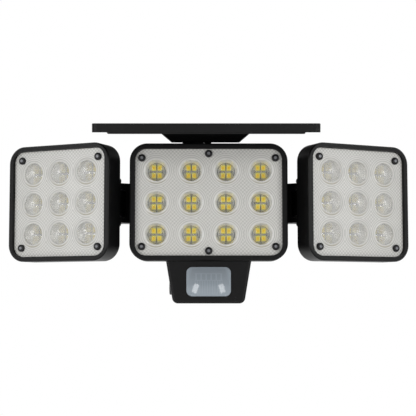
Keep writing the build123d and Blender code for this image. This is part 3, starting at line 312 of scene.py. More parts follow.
def nickel_plate():
    """Nickel plate on spring steel: warm silver."""
    return grainy("Nickel plated strip", "#b9b4a8", "#c9c5ba", 0.24, 0.5 * MM, 0.01 * MM, Metallic=1.0)


def backing_sheet():
    """Dark glass-epoxy sheet behind the cells."""
    return grainy("Glass epoxy sheet black", "#19191b", "#212124", 0.5, 0.8 * MM, 0.02 * MM)


def guide_plastic():
    """Smoke-tinted acrylic pin: dark where it ends, with a small gloss."""
    return grainy("Acrylic smoke tinted", "#0c0d0e", "#141617", 0.15, 1.0 * MM, 0.005 * MM)


def silicon_cell():
    """Silicon cells under a blue-black coating, each with two printed silver busbars."""
    material, tree, place = start_material("Silicon cell dark blue")
    low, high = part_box("solar_cells")
    bar_pitch = (high.x - low.x + CELL_SPACING) / (2 * CELL_COLUMNS)
    drift = add_node(tree, "ShaderNodeTexNoise", {"Vector": place, "Scale": 1 / (18 * MM), "Detail": 2.0})
    tone = add_node(tree, "ShaderNodeMix", {
        0: drift.outputs["Fac"], 6: linear("#0b1224"), 7: linear("#101a33")}, data_type="RGBA")
    axes = add_node(tree, "ShaderNodeSeparateXYZ", {0: place})
    turns = add_node(tree, "ShaderNodeMath", {0: axes.outputs["X"], 1: bar_pitch}, operation="DIVIDE")
    share = add_node(tree, "ShaderNodeMath", {0: turns.outputs[0]}, operation="FRACT")
    bars = add_node(tree, "ShaderNodeMath", {0: share.outputs[0], 1: 0.5, 2: 0.03}, operation="COMPARE")
    printed = add_node(tree, "ShaderNodeMix", {
        0: bars.outputs[0], 6: tone.outputs[2], 7: linear("#a3a7ab")}, data_type="RGBA")
    shader = add_node(tree, "ShaderNodeBsdfPrincipled", {
        "Base Color": printed.outputs[2], "Roughness": 0.2, "Coat Weight": 0.4})
    close_material(tree, shader)
    return material


def cover_glass():
    """Clear glazing over the cells: seen through, with a clear reflection."""
    return grainy("Float glass clear", "#f2f6f7", "#ffffff", 0.06, 6.0 * MM, 0.003 * MM,
                  **{"Transmission Weight": 1.0, "IOR": 1.45, "Alpha": 0.2, "Coat Weight": 0.3,
                     "Coat Roughness": 0.04})


def white_solder_mask():
    """White solder mask on an aluminium board: bright, even and slightly glossy."""
    return grainy("Solder mask white", "#d6d6d2", "#e2e2de", 0.35, 0.6 * MM, 0.01 * MM)


def board_gap_tone():
    """Dark gaps between the copper pads, seen as bars between the chips."""
    return grainy("Board gaps dark", "#33363a", "#4d5156", 0.5, 0.8 * MM, 0.02 * MM)


def pad_metal():
    """Bare tinned pad on the lamp board: pale grey and dull, under the lens."""
    return grainy("Tinned pad grey", "#a3a6a6", "#b4b6b5", 0.4, 0.7 * MM, 0.02 * MM)


def recess_highlight():
    """Painted highlight in the driver recess of a screw: grey and bright in its middle."""
    return grainy("Zinc worn grey", "#77787c", "#8c8d91", 0.38, 0.3 * MM, 0.01 * MM, Metallic=0.3)


def chip_package():
    """Polyphthalamide body of a lamp chip: white, painted pale yellow for the yellow light thrown on it by the
    face that it frames.
    """
    return grainy("PPA chip body yellow", "#f4e052", "#f7ea7c", 0.35, 0.5 * MM, 0.01 * MM)


def phosphor_gel(colours):
    """Phosphor in clear gel: deep yellow with a wet surface."""
    return grainy("Phosphor gel amber", colours.phosphor, "#f0c828", 0.25, 0.5 * MM, 0.01 * MM)


def lens_plastic(name, share, roughness=0.22, clear=1.0):
    """Clear polycarbonate: part seen straight through, part softly bent, with sharp small highlights.

    The share is the part that bends light, and clear is how much of that part isn't milky.
    """
    return grainy(name, "#fbfbf8", "#ffffff", roughness, 4.0 * MM, 0.002 * MM,
                  **{"Transmission Weight": clear, "IOR": 1.45, "Alpha": share,
                     "Coat Weight": 0.6, "Coat Roughness": 0.04})


def cup_wall(colours):
    """Inner wall of the cup under a lens: warm white and smooth."""
    return grainy("Polycarbonate cup warm white", colours.cup, "#ffffff", 0.3, 1.5 * MM, 0.02 * MM)


def optic_plastic(colours, head):
    """Clear polycarbonate over a white board: fine rings round each lens, diamonds between them."""
    material, tree, place = start_material(f"Polycarbonate patterned {head.name}")
    columns, rows, pitch_x, pitch_z = head.lenses
    turn = head.matrix.to_euler().z
    level = add_node(tree, "ShaderNodeMapping", {"Vector": place, "Location": -head.matrix.translation})
    flat = add_node(tree, "ShaderNodeMapping", {"Vector": level.outputs[0], "Rotation": (0, 0, -turn)})
    spot = add_node(tree, "ShaderNodeVectorMath", {0: flat.outputs[0], 1: (1, 0, 1)}, operation="MULTIPLY")

    # Distance from the nearest lens
    shift = Vector((pitch_x / 2 * (columns % 2), 0, pitch_z / 2 * (rows % 2)))
    middle = Vector((pitch_x / 2, 0, pitch_z / 2)) - shift
    outermost = Vector(((columns - 1) / 2 * pitch_x, 0, (rows - 1) / 2 * pitch_z))
    lens = spot
    for operation, value in (("ADD", shift), ("SNAP", (pitch_x, 1, pitch_z)), ("ADD", middle),
                             ("MAXIMUM", -outermost), ("MINIMUM", outermost)):
        lens = add_node(tree, "ShaderNodeVectorMath", {0: lens.outputs[0], 1: value}, operation=operation)
    away = add_node(tree, "ShaderNodeVectorMath", {
        0: spot.outputs[0], 1: lens.outputs[0]}, operation="SUBTRACT")
    far = add_node(tree, "ShaderNodeVectorMath", {0: away.outputs[0]}, operation="LENGTH")
    distance = far.outputs["Value"]

    # Rings and diamonds: real ones are half a millimetre apart, too fine to show, so these are coarser
    pitch = 2.0 * MM
    ring_pitch = 0.75 * pitch
    phase = add_node(tree, "ShaderNodeMath", {
        0: distance, 1: 2 * math.pi / ring_pitch}, operation="MULTIPLY")
    rings = add_node(tree, "ShaderNodeMath", {0: phase.outputs[0]}, operation="SINE")
    axes = add_node(tree, "ShaderNodeSeparateXYZ", {0: spot.outputs[0]})
    waves = []
    for axis in ("X", "Z"):
        phase = add_node(tree, "ShaderNodeMath", {
            0: axes.outputs[axis], 1: math.pi * math.sqrt(2) / pitch}, operation="MULTIPLY")
        waves.append(add_node(tree, "ShaderNodeMath", {0: phase.outputs[0]}, operation="SINE").outputs[0])
    diamonds = add_node(tree, "ShaderNodeMath", {0: waves[0], 1: waves[1]}, operation="MULTIPLY")
    between = add_node(tree, "ShaderNodeMapRange", {
        "Value": distance, "From Min": 11 * MM, "From Max": 15.5 * MM})
    pattern = add_node(tree, "ShaderNodeMix", {
        0: between.outputs[0], 2: rings.outputs[0], 3: diamonds.outputs[0]}).outputs[0]

    # Tones: warm patches, a painted highlight ring at each lens and a painted beige shadow under it
    patches = add_node(tree, "ShaderNodeTexNoise", {"Vector": place, "Scale": 1 / (16 * MM), "Detail": 1.0})
    warm = add_node(tree, "ShaderNodeMix", {
        0: patches.outputs["Fac"], 6: linear("#a6a6a3"), 7: linear(colours.plate)}, data_type="RGBA")
    light = add_node(tree, "ShaderNodeMapRange", {
        "Value": pattern, "From Min": -0.6, "From Max": 0.6, "To Min": 0.14, "To Max": 0.62})
    checked = add_node(tree, "ShaderNodeMix", {
        0: light.outputs[0], 6: warm.outputs[2], 7: linear("#e6e5e1")}, data_type="RGBA")
    # Painted shadow: a beige crescent just below the edge of each lens
    below = add_node(tree, "ShaderNodeSeparateXYZ", {0: away.outputs[0]})
    under = add_node(tree, "ShaderNodeMapRange", {
        "Value": below.outputs["Z"], "From Min": -6 * MM, "From Max": -9.5 * MM})
    reach = add_node(tree, "ShaderNodeMath", {0: distance, 1: 9.8 * MM, 2: 0.45 * MM}, operation="COMPARE")
    painted_shadow = add_node(tree, "ShaderNodeMath", {0: under.outputs[0], 1: reach.outputs[0]}, operation="MULTIPLY")
    painted_shadow = add_node(tree, "ShaderNodeMath", {0: painted_shadow.outputs[0], 1: 0.7}, operation="MULTIPLY")
    with_painted_shadow = add_node(tree, "ShaderNodeMix", {
        0: painted_shadow.outputs[0], 6: checked.outputs[2], 7: linear("#a19a84")}, data_type="RGBA")
    # Painted highlight: a pale ring at the edge of each lens
    near = add_node(tree, "ShaderNodeMapRange", {
        "Value": distance, "From Min": 9.3 * MM, "From Max": 8.6 * MM})
    with_painted_ring = add_node(tree, "ShaderNodeMix", {
        0: near.outputs[0], 6: with_painted_shadow.outputs[2], 7: linear("#dddcd9")}, data_type="RGBA")
    bump = add_node(tree, "ShaderNodeBump", {"Height": pattern, "Strength": 0.35, "Distance": 0.08 * MM})
    shader = add_node(tree, "ShaderNodeBsdfPrincipled", {
        "Base Color": with_painted_ring.outputs[2], "Roughness": 0.3, "Coat Weight": 0.25, "Coat Roughness": 0.1})
    close_material(tree, shader, bump.outputs[0])
    return material


def window_film(colours):
    """Milky polyethylene film with rows of facets: soft blue grey, paler low down and at its ends."""
    material, tree, place = start_material("Polyethylene Fresnel film")
    low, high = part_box("sensor_window")
    level = add_node(tree, "ShaderNodeMapping", {"Vector": place, "Location": -(low + high) / 2})
    axes = add_node(tree, "ShaderNodeSeparateXYZ", {0: level.outputs[0]})
    across, up = axes.outputs["X"], axes.outputs["Z"]

    # Facet lines: one row of narrow facets low down, one of wide facets above it
    lines = []
    for pitch, top, bottom in ((1.9 * MM, 1 * MM, -9 * MM), (3.8 * MM, 6 * MM, 1 * MM)):
        turns = add_node(tree, "ShaderNodeMath", {0: across, 1: pitch}, operation="DIVIDE")
        share = add_node(tree, "ShaderNodeMath", {0: turns.outputs[0]}, operation="FRACT")
        line = add_node(tree, "ShaderNodeMath", {0: share.outputs[0], 1: 0.5, 2: 0.14}, operation="COMPARE")
        row = add_node(tree, "ShaderNodeMath", {
            0: up, 1: (top + bottom) / 2, 2: (top - bottom) / 2}, operation="COMPARE")
        column = add_node(tree, "ShaderNodeMath", {0: across, 1: 0.0, 2: 10.5 * MM}, operation="COMPARE")
        line = add_node(tree, "ShaderNodeMath", {0: line.outputs[0], 1: row.outputs[0]}, operation="MULTIPLY")
        border = add_node(tree, "ShaderNodeMath", {0: up, 1: top, 2: 0.3 * MM}, operation="COMPARE")
        both = add_node(tree, "ShaderNodeMath", {
            0: line.outputs[0], 1: border.outputs[0]}, operation="MAXIMUM")
        both = add_node(tree, "ShaderNodeMath", {
            0: both.outputs[0], 1: column.outputs[0]}, operation="MULTIPLY")
        lines.append(both.outputs[0])
    facets = add_node(tree, "ShaderNodeMath", {0: lines[0], 1: lines[1]}, operation="MAXIMUM")

    edge = add_node(tree, "ShaderNodeMath", {0: across}, operation="ABSOLUTE")
    ends = add_node(tree, "ShaderNodeMapRange", {
        "Value": edge.outputs[0], "From Min": 12 * MM, "From Max": 17 * MM, "To Max": 0.6})
    fall = add_node(tree, "ShaderNodeMapRange", {
        "Value": up, "From Min": 9 * MM, "From Max": -11 * MM, "To Max": 0.7})
    pale = add_node(tree, "ShaderNodeMath", {0: ends.outputs[0], 1: fall.outputs[0]}, operation="MAXIMUM")
    base = add_node(tree, "ShaderNodeMix", {
        0: pale.outputs[0], 6: linear(colours.window), 7: linear("#8d99a3")}, data_type="RGBA")
    share = add_node(tree, "ShaderNodeMath", {0: facets.outputs[0], 1: 0.1}, operation="MULTIPLY")
    lined = add_node(tree, "ShaderNodeMix", {
        0: share.outputs[0], 6: base.outputs[2], 7: linear("#c2cad1")}, data_type="RGBA")
    bump = add_node(tree, "ShaderNodeBump", {
        "Height": facets.outputs[0], "Strength": 0.15, "Distance": 0.05 * MM})
    shader = add_node(tree, "ShaderNodeBsdfPrincipled", {
        "Base Color": lined.outputs[2], "Roughness": 0.45, "Normal": bump.outputs[0],
        "Coat Weight": 1.0, "Coat Roughness": 0.06})
    close_material(tree, shader)
    return material


# Mesh and placing helpers


def mesh_object(name, bm, material=None):
    mesh = bpy.data.meshes.new(name)
    bm.to_mesh(mesh)
    bm.free()
    obj = bpy.data.objects.new(name, mesh)
    bpy.context.collection.objects.link(obj)
    if material:
        mesh.materials.append(material)
    return obj


def turned(name, profile, steps=48):
    """Closed solid turned about the Y axis from points of radius and depth."""
    bm = bmesh.new()
    verts = [bm.verts.new((radius, depth, 0)) for radius, depth in profile]
    pairs = list(zip(verts, verts[1:]))
    if profile[0][0] > 0:
        pairs.append((verts[-1], verts[0]))
    edges = [bm.edges.new(pair) for pair in pairs]
    bmesh.ops.spin(bm, geom=verts + edges, axis=(0, 1, 0), cent=(0, 0, 0), angle=2 * math.pi, steps=steps)
    bmesh.ops.remove_doubles(bm, verts=bm.verts, dist=0.001 * MM)
    bmesh.ops.recalc_face_normals(bm, faces=bm.faces)
    for face in bm.faces:
        face.smooth = True
    for edge in bm.edges:
        edge.smooth = edge.calc_face_angle(0) < math.radians(28)
    return mesh_object(name, bm)


def rounded_points(width, height, corner, steps=10):
    """Points of a rounded rectangle in X and Z, counter-clockwise."""
    points = []
    for quarter in range(4):
        sign_x = 1 if quarter in (0, 3) else -1
        sign_z = 1 if quarter in (0, 1) else -1
        for step in range(steps + 1):
            angle = math.pi / 2 * (quarter + step / steps)
            x = sign_x * (width / 2 - corner) + corner * math.cos(angle)
            z = sign_z * (height / 2 - corner) + corner * math.sin(angle)
            points.append((x, z))
    return points


def circle_points(x, z, radius, steps=40):
    turn = 2 * math.pi / steps
    return [(x + radius * math.cos(turn * step), z + radius * math.sin(turn * step)) for step in range(steps)]


def pierced_plate(name, outline, holes, depth, thickness, place):
    """Flat plate with holes, its front at a depth behind the head's front."""
    curve = bpy.data.curves.new(name, "CURVE")
    curve.dimensions = "2D"
    curve.fill_mode = "BOTH"
    curve.extrude = thickness / 2
    for points in [outline, *holes]:
        spline = curve.splines.new("POLY")
        spline.points.add(len(points) - 1)
        for point, (x, z) in zip(spline.points, points):
            point.co = (x, z, 0, 1)
        spline.use_cyclic_u = True
    flat = bpy.data.objects.new(name, curve)
    bpy.context.collection.objects.link(flat)
    graph = bpy.context.evaluated_depsgraph_get()
    mesh = bpy.data.meshes.new_from_object(flat.evaluated_get(graph))
    bpy.data.objects.remove(flat)
    bpy.data.curves.remove(curve)
    upright = Matrix.Translation((0, depth + thickness / 2, 0)) @ Matrix.Rotation(math.radians(90), 4, "X")
    mesh.transform(place @ upright)
    obj = bpy.data.objects.new(name, mesh)
    bpy.context.collection.objects.link(obj)
    return obj


def grid_tree():
    """Geometry Nodes that put one shape on every point of an even upright grid."""
    tree = bpy.data.node_groups.new("Upright grid of copies", "GeometryNodeTree")
    face = tree.interface
    face.new_socket("Geometry", in_out="INPUT", socket_type="NodeSocketGeometry")
    for name, kind in (("Shape", "Object"), ("Columns", "Int"), ("Rows", "Int"), ("Pitch X", "Float"),
                       ("Pitch Z", "Float"), ("Place", "Vector"), ("Turn", "Vector"), ("Finish", "Material")):
        face.new_socket(name, in_out="INPUT", socket_type=f"NodeSocket{kind}")
    face.new_socket("Geometry", in_out="OUTPUT", socket_type="NodeSocketGeometry")
    given = add_node(tree, "NodeGroupInput").outputs
    spans = []
    for count, pitch in (("Columns", "Pitch X"), ("Rows", "Pitch Z")):
        gaps = add_node(tree, "ShaderNodeMath", {0: given[count], 1: 1.0}, operation="SUBTRACT")
        span = add_node(tree, "ShaderNodeMath", {0: gaps.outputs[0], 1: given[pitch]}, operation="MULTIPLY")
        spans.append(span.outputs[0])
    grid = add_node(tree, "GeometryNodeMeshGrid", {
        "Size X": spans[0], "Size Y": spans[1],
        "Vertices X": given["Columns"], "Vertices Y": given["Rows"]})
    upright = add_node(tree, "GeometryNodeTransform", {
        "Geometry": grid.outputs["Mesh"], "Rotation": Euler((math.radians(90), 0, 0))})
    shape = add_node(tree, "GeometryNodeObjectInfo", {"Object": given["Shape"]})
    copies = add_node(tree, "GeometryNodeInstanceOnPoints", {
        "Points": upright.outputs[0], "Instance": shape.outputs["Geometry"]})
    real = add_node(tree, "GeometryNodeRealizeInstances", {"Geometry": copies.outputs[0]})
    placed = add_node(tree, "GeometryNodeTransform", {
        "Geometry": real.outputs[0], "Translation": given["Place"], "Rotation": given["Turn"]})
    finish = add_node(tree, "GeometryNodeSetMaterial", {
        "Geometry": placed.outputs[0], "Material": given["Finish"]})
    add_node(tree, "NodeGroupOutput", {"Geometry": finish.outputs[0]})
    return tree


def grid_of(name, shape, head, layout, material):
    """One plain mesh with a copy of a shape at every place of a head's grid."""
    tree = bpy.data.node_groups.get("Upright grid of copies") or grid_tree()
    host = bpy.data.objects.new(name, bpy.data.meshes.new(name))
    bpy.context.collection.objects.link(host)
    modifier = host.modifiers.new("Copies", "NODES")
    modifier.node_group = tree
    columns, rows, pitch_x, pitch_z = layout
    values = {"Shape": shape, "Columns": columns, "Rows": rows, "Pitch X": pitch_x, "Pitch Z": pitch_z,
              "Place": head.matrix.translation, "Turn": head.matrix.to_euler(), "Finish": material}
    for item in tree.interface.items_tree:
        if item.in_out == "INPUT" and item.name in values:
            modifier[item.identifier] = values[item.name]
    graph = bpy.context.evaluated_depsgraph_get()
    mesh = bpy.data.meshes.new_from_object(host.evaluated_get(graph))
    mesh.name = name
    host.modifiers.clear()
    old = host.data
    host.data = mesh
    bpy.data.meshes.remove(old)
    return host


def fit(obj, body, replaced=()):
    """Let a piece move with its body and stand for CAD nodes."""
    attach(obj, body)
    if replaced:
        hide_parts(*replaced)
    return obj


# Pieces


class STREETLIGHT_OT_finishes(bpy.types.Operator):
    """Give every CAD piece its real finish"""

    bl_idname = "streetlight.finishes"
    bl_label = "CAD finishes"

    def execute(self, context):
        colours = context.scene.streetlight_colours
        finishes = {
            "shell_black": moulded_abs(colours), "window_milky": window_film(colours),
            "lamp_board": white_solder_mask(), "lamp_chip": chip_package(), "screw_black": black_zinc(),
            "steel_plain": bright_zinc(), "seal_rubber": seal_rubber(), "bracket_black": powder_coat(),
            "cell_wrap": shrink_sleeve(), "contact_plate": nickel_plate(), "board_green": circuit_board(),
            "board_part": moulded_part(), "lead_sleeve": lead_sleeve(), "sensor_can": bright_zinc(),
            "guide_clear": guide_plastic(), "button_rubber": button_rubber(), "cell_silicon": silicon_cell(),
            "cell_sheet": backing_sheet(), "panel_glass": cover_glass(),
            "lens_clear": lens_plastic("Polycarbonate clear", 0.25),
        }
        slots = {part["node"]: part["material_slot"] for part in frame["record"]["subparts"]}
        for name, obj in frame["nodes"].items():
            for index in range(len(obj.material_slots)):
                obj.material_slots[index].material = finishes[slots[name]]
        return {"FINISHED"}


class STREETLIGHT_OT_lenses(bpy.types.Operator):
    """Build the optic plates with their domes, ridges and cups"""

    bl_idname = "streetlight.lenses"
    bl_label = "Lenses"

    def dome_profile(self, sizes):
        """Arc from the apex down to the plate, and the flat underside."""
        ball = (sizes.radius ** 2 + sizes.dome ** 2) / (2 * sizes.dome)
        whole = math.asin(sizes.radius / ball)
        apex = sizes.recess - sizes.dome
        steps = 14
        arc = []
        for step in range(steps + 1):
            angle = whole * step / steps
            arc.append((ball * math.sin(angle), apex + ball * (1 - math.cos(angle))))
        arc[0] = (0, apex)
        underside = sizes.recess - 0.02 * MM
        return arc[:-1] + [(sizes.radius, underside), (0, underside)]

    def ridge_profile(self, sizes):
        """Saw-tooth rings from the lens's edge outwards, each lower than the last."""
        points = []
        start = sizes.radius + 0.1 * MM
        count = int((sizes.ridge_reach - start) / sizes.ridge_pitch)
        low = sizes.recess - 0.03 * MM
        tallest = 0.22 * MM
        for ridge in range(count):
            radius = start + ridge * sizes.ridge_pitch
            rise = tallest * (1 - ridge / count)
            points.append((radius, low))
            points.append((radius + sizes.ridge_pitch * 0.35, low - rise))
        points.append((start + count * sizes.ridge_pitch, sizes.recess + 0.01 * MM))
        points.append((start, sizes.recess + 0.05 * MM))
        return points

    def cup_profile(self, sizes):
        """Slightly hollow wall from the plate down to the board."""
        top = sizes.recess + sizes.plate
        wall = 0.9 * MM
        waist = sizes.foot + (sizes.mouth - sizes.foot) * 0.7
        middle = (top + BOARD_FRONT) / 2
        return [
            (sizes.mouth, top), (waist, middle), (sizes.foot, BOARD_FRONT),
            (sizes.foot + wall, BOARD_FRONT), (waist + wall, middle), (sizes.mouth + wall, top),
        ]

    def execute(self, context):
        sizes = context.scene.streetlight_lens
        colours = context.scene.streetlight_colours
        dome = turned("dome_shape", self.dome_profile(sizes))
        centre_finish = lens_plastic("Polycarbonate clear dome", 0.25)
        # The side heads are seen at a slant, where their domes hide more of the chips
        side_finish = lens_plastic("Polycarbonate clear dome, side heads", 0.75, 0.12, 0.72)
        templates = {
            "ridges": (turned("ridge_shape", self.ridge_profile(sizes)), None),
            "cups": (turned("cup_shape", self.cup_profile(sizes)), cup_wall(colours)),
        }
        for head in head_layouts(sizes):
            outline = rounded_points(head.width, head.height, PLATE_CORNER)
            holes = [circle_points(x, z, sizes.mouth) for x, z in grid_places(*head.lenses)]
            name = f"{head.name}_patterned_plate"
            plate = pierced_plate(name, outline, holes, sizes.recess, sizes.plate, head.matrix)
            patterned = optic_plastic(colours, head)
            plate.data.materials.append(patterned)
            fit(plate, head.body, [f"{head.name}_optic_plate"])
            clear = centre_finish if head.name == "centre" else side_finish
            domes = grid_of(f"{head.name}_lens_domes", dome, head, head.lenses, clear)
            fit(domes, head.body)
            for part, (shape, material) in templates.items():
                finish = material or patterned
                copies = grid_of(f"{head.name}_lens_{part}", shape, head, head.lenses, finish)
                fit(copies, head.body)
        bpy.data.objects.remove(dome)
        for shape, material in templates.values():
            bpy.data.objects.remove(shape)
        return {"FINISHED"}


class STREETLIGHT_OT_chips(bpy.types.Operator):
    """Build the lamp chips with their yellow faces, and the pads, rims and gaps on the board"""

    bl_idname = "streetlight.chips"
    bl_label = "Lamp chips"

    def four_blocks(self, name, sizes, width, height, near, far):
        """Four equal blocks with soft edges, one for each chip of a lens."""
        bm = bmesh.new()
        for side in (-1, 1):
            for up in (-1, 1):
                x, z = side * sizes.chip_pitch_x / 2, up * sizes.chip_pitch_z / 2
                centre = Vector((x, (near + far) / 2, z))
                scale = Matrix.Diagonal((width, far - near, height, 1))
                bmesh.ops.create_cube(bm, size=1, matrix=Matrix.Translation(centre) @ scale)
        front = [e for e in bm.edges if all(v.co.y < (near + far) / 2 for v in e.verts)]
        bmesh.ops.bevel(bm, geom=front, offset=0.15 * MM, segments=2, affect="EDGES")
        bmesh.ops.recalc_face_normals(bm, faces=bm.faces)
        return mesh_object(name, bm)

    def pad(self, sizes):
        """Round bare pad under a lens."""
        reach = sizes.foot * 0.99
        near, far = BOARD_FRONT - 0.05 * MM, BOARD_FRONT + 0.02 * MM
        return turned("pad_shape", [(0, near), (reach, near), (reach, far), (0, far)])

    def gap_bars(self):
        """Thin dark bars on the pad: a cross with a doubled arm, and short bars at its sides."""
        bm = bmesh.new()
        # Middle and size of each bar, in mm
        bars = [
            (-0.1, 3.6, 0.6, 4.6), (0, -3.8, 0.5, 4.2), (-2.6, 0.65, 5.6, 0.45), (-2.9, -0.6, 5.0, 0.4),
            (1.9, 0.55, 2.6, 0.4), (2.2, -0.65, 3.2, 0.35), (-4.6, 0, 0.5, 1.6), (-1.5, 0, 0.45, 1.0),
            (4.6, 0.3, 0.55, 3.2), (3.6, 0, 0.3, 1.2), (5.4, -1.9, 0.45, 1.2),
        ]
        for number, (x, z, width, height) in enumerate(bars):
            near = BOARD_FRONT - (0.1 + 0.004 * number) * MM
            scale = Matrix.Diagonal((width * MM, 0.1 * MM, height * MM, 1))
            place = Matrix.Translation((x * MM, near + 0.05 * MM, z * MM))
            bmesh.ops.create_cube(bm, size=1, matrix=place @ scale)
        return mesh_object("bars_shape", bm)

    def pad_rim(self, sizes):
        """Dark rim of the pad, where the cup stands."""
        near, far = BOARD_FRONT - 0.12 * MM, BOARD_FRONT
        inner, outer = sizes.foot - 0.4 * MM, sizes.foot
        return turned("rim_shape", [(inner, near), (outer, near), (outer, far), (inner, far)])

    def execute(self, context):
        sizes = context.scene.streetlight_lens
        colours = context.scene.streetlight_colours
        top = BOARD_FRONT - CHIP_RISE
        body = self.four_blocks("chip_shape", sizes, sizes.chip_width, sizes.chip_height, top, BOARD_FRONT)
        face_size = (sizes.chip_width - 1.3 * MM, sizes.chip_height - 1.7 * MM)
        face = self.four_blocks("face_shape", sizes, *face_size, top - 0.06 * MM, top + 0.2 * MM)
        bars = self.gap_bars()
        pad = self.pad(sizes)
        parts = {
            "chip_bodies": (body, chip_package()),
            "chip_faces": (face, phosphor_gel(colours)),
            "board_gaps": (bars, board_gap_tone()),
            "board_pads": (pad, pad_metal()),
            "board_rims": (self.pad_rim(sizes), board_gap_tone()),
        }
        for head in head_layouts(sizes):
            for part, (shape, material) in parts.items():
                piece = grid_of(f"{head.name}_{part}", shape, head, head.lenses, material)
                replaced = [f"{head.name}_led_chips"] if part == "chip_bodies" else []
                fit(piece, head.body, replaced)
        for shape, material in parts.values():
            bpy.data.objects.remove(shape)
        return {"FINISHED"}


class STREETLIGHT_OT_screws(bpy.types.Operator):
    """Build the pan-head screws that hold the optic plates, with a painted highlight in each driver recess"""

    bl_idname = "streetlight.screws"
    bl_label = "Lens screws"

    def pan_head(self, recess):
        """Rounded head with a dished recess, and its shank."""
        top = recess - SCREW_RISE
        return turned("screw_shape", [
            (0, top + 0.75 * MM), (0.7 * MM, top + 0.72 * MM), (1.15 * MM, top + 0.05 * MM), (1.3 * MM, top),
            (2.0 * MM, top + 0.06 * MM), (2.5 * MM, top + 0.28 * MM), (2.8 * MM, top + 0.66 * MM),
            (2.9 * MM, top + 1.1 * MM), (2.9 * MM, recess), (1.45 * MM, recess),
            (1.45 * MM, recess + 8.6 * MM), (1.0 * MM, recess + 9 * MM), (0, recess + 9 * MM),
        ], 32)

    def dish(self, recess):
        """Thin skin in the recess that carries its painted highlight."""
        top = recess - SCREW_RISE
        return turned("dish_shape", [
            (0, top + 0.7 * MM), (0.7 * MM, top + 0.67 * MM), (1.13 * MM, top + 0.02 * MM),
            (1.2 * MM, top + 0.08 * MM), (0.74 * MM, top + 0.76 * MM), (0, top + 0.79 * MM),
        ], 32)

    def execute(self, context):
        sizes = context.scene.streetlight_lens
        head_shape, dish_shape = self.pan_head(sizes.recess), self.dish(sizes.recess)
        # The grey skin in each recess is a painted highlight
        black, painted_glint = black_zinc(), recess_highlight()
        for head in head_layouts(sizes):
            for number, layout in enumerate(head.screws):
                screws = grid_of(f"{head.name}_screws_{number}", head_shape, head, layout, black)
                fit(screws, head.body, [f"{head.name}_lens_screws"] if number == 0 else [])
                dishes = grid_of(f"{head.name}_recesses_{number}", dish_shape, head, layout, painted_glint)
                fit(dishes, head.body)
        bpy.data.objects.remove(head_shape)
        bpy.data.objects.remove(dish_shape)
        return {"FINISHED"}


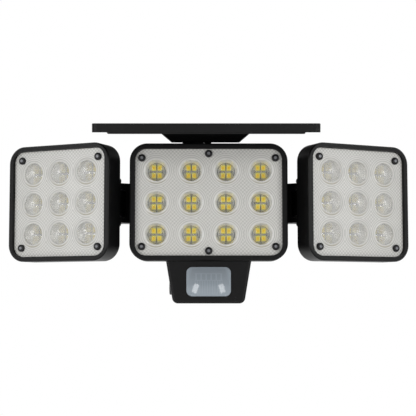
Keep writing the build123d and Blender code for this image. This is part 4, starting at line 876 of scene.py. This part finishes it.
class STREETLIGHT_OT_studio(bpy.types.Operator):
    """Set up the floor, backdrop, lamps and camera"""

    bl_idname = "streetlight.studio"
    bl_label = "Studio"

    def plain_paper(self):
        """White studio paper: white to the eye and in reflections, and matt under the lamps."""
        material, tree, place = start_material("Studio paper white")
        grain = add_node(tree, "ShaderNodeTexNoise", {"Vector": place, "Scale": 1 / (4 * MM)})
        tone = add_node(tree, "ShaderNodeMix", {
            0: grain.outputs["Fac"], 6: linear("#f4f4f2"), 7: linear("#fafaf9")}, data_type="RGBA")
        matt = add_node(tree, "ShaderNodeBsdfDiffuse", {"Color": tone.outputs[2]})
        glow = add_node(tree, "ShaderNodeEmission", {"Strength": 1.0})
        rays = add_node(tree, "ShaderNodeLightPath").outputs
        seen = add_node(tree, "ShaderNodeMath", {
            0: rays["Is Camera Ray"], 1: rays["Is Glossy Ray"]}, operation="MAXIMUM")
        seen = add_node(tree, "ShaderNodeMath", {
            0: seen.outputs[0], 1: rays["Is Transmission Ray"]}, operation="MAXIMUM")
        mixed = add_node(tree, "ShaderNodeMixShader", {
            0: seen.outputs[0], 1: matt.outputs[0], 2: glow.outputs[0]})
        add_node(tree, "ShaderNodeOutputMaterial", {"Surface": mixed.outputs[0]})
        return material

    def sheet(self, name, centre, width, height, turn, material):
        bm = bmesh.new()
        place = Matrix.Translation(centre) @ Matrix.Rotation(turn, 4, "X")
        scale = Matrix.Diagonal((width, height, 1, 1))
        bmesh.ops.create_grid(bm, x_segments=1, y_segments=1, size=0.5, matrix=place @ scale)
        mesh_object(name, bm, material)

    def softbox(self, name, place, width, height, power, turn):
        """Area lamp that faces the middle of the centre head."""
        light = bpy.data.lights.new(name, "AREA")
        light.shape = "RECTANGLE"
        light.size = width
        light.size_y = height
        light.energy = power
        lamp = bpy.data.objects.new(name, light)
        bpy.context.collection.objects.link(lamp)
        lamp.location = place
        facing = (Vector((0, FRONT, 0)) - Vector(place)).to_track_quat("-Z", "Y")
        lamp.rotation_euler = (facing.to_matrix() @ Matrix.Rotation(turn, 3, "Z")).to_euler()

    def execute(self, context):
        scene = context.scene
        paper = self.plain_paper()
        self.sheet("floor", (0, 0, -0.45), 9, 9, 0, paper)
        self.sheet("backdrop", (0, 1.1, 1.5), 9, 6, math.radians(90), paper)
        world = bpy.data.worlds.new("Studio room")
        world.use_nodes = True
        tree = world.node_tree
        tree.nodes.clear()
        rays = add_node(tree, "ShaderNodeLightPath").outputs
        room = add_node(tree, "ShaderNodeBackground", {"Color": linear("#ffffff"), "Strength": 0.4})
        white = add_node(tree, "ShaderNodeBackground", {"Color": linear("#ffffff"), "Strength": 1.0})
        mixed = add_node(tree, "ShaderNodeMixShader", {
            0: rays["Is Camera Ray"], 1: room.outputs[0], 2: white.outputs[0]})
        add_node(tree, "ShaderNodeOutputWorld", {"Surface": mixed.outputs[0]})
        scene.world = world
        # Place, width, height, watts and turn; the strips make the two marks on the sensor window
        lamps = (
            ("key", (-1.5, -1.5, 0.3), 1.0, 1.0, 12, 0),
            ("fill", (1.5, -1.5, 0.3), 1.0, 1.0, 11, 0),
            ("low", (0, -1.7, -0.85), 1.2, 0.5, 7, 0),
            ("top", (0, -0.1, 1.6), 1.4, 1.0, 4, 0),
            ("strip left", (-0.4, -1.2, -0.24), 0.16, 0.27, 0.9, -21),
            ("strip right", (0.4, -1.2, -0.24), 0.16, 0.27, 0.9, 21),
        )
        for name, place, width, height, power, turn in lamps:
            self.softbox(name, place, width, height, power, math.radians(turn))
        camera = bpy.data.cameras.new("View")
        camera.lens = 98.0
        camera.clip_start = 0.01
        view = bpy.data.objects.new("View", camera)
        context.collection.objects.link(view)
        view.location = (-0.0005, FRONT - 0.860, -0.077)
        view.rotation_euler = (math.radians(90 + 4.8), 0, 0)
        scene.camera = view
        scene.view_settings.view_transform = "Standard"
        return {"FINISHED"}


PIECES = (
    STREETLIGHT_OT_finishes, STREETLIGHT_OT_lenses, STREETLIGHT_OT_chips, STREETLIGHT_OT_screws,
    STREETLIGHT_OT_studio,
)


class STREETLIGHT_PT_pieces(bpy.types.Panel):
    """Sizes, colours and pieces of the street light"""

    bl_label = "Street Light"
    bl_idname = "STREETLIGHT_PT_pieces"
    bl_space_type = "VIEW_3D"
    bl_region_type = "UI"
    bl_category = "Street Light"

    def draw(self, context):
        layout = self.layout
        for group in (context.scene.streetlight_lens, context.scene.streetlight_colours):
            for name in group.__annotations__:
                layout.prop(group, name)
        for piece in PIECES:
            layout.operator(piece.bl_idname)


CLASSES = (LensSizes, FinishColours, *PIECES, STREETLIGHT_PT_pieces)


def register():
    for item in CLASSES:
        bpy.utils.register_class(item)
    bpy.types.Scene.streetlight_lens = bpy.props.PointerProperty(type=LensSizes)
    bpy.types.Scene.streetlight_colours = bpy.props.PointerProperty(type=FinishColours)


def unregister():
    del bpy.types.Scene.streetlight_colours
    del bpy.types.Scene.streetlight_lens
    for item in reversed(CLASSES):
        bpy.utils.unregister_class(item)


def main():
    register()
    bpy.ops.streetlight.finishes()
    bpy.ops.streetlight.lenses()
    bpy.ops.streetlight.chips()
    bpy.ops.streetlight.screws()
    bpy.ops.streetlight.studio()


if __name__ == "__main__":
    main()
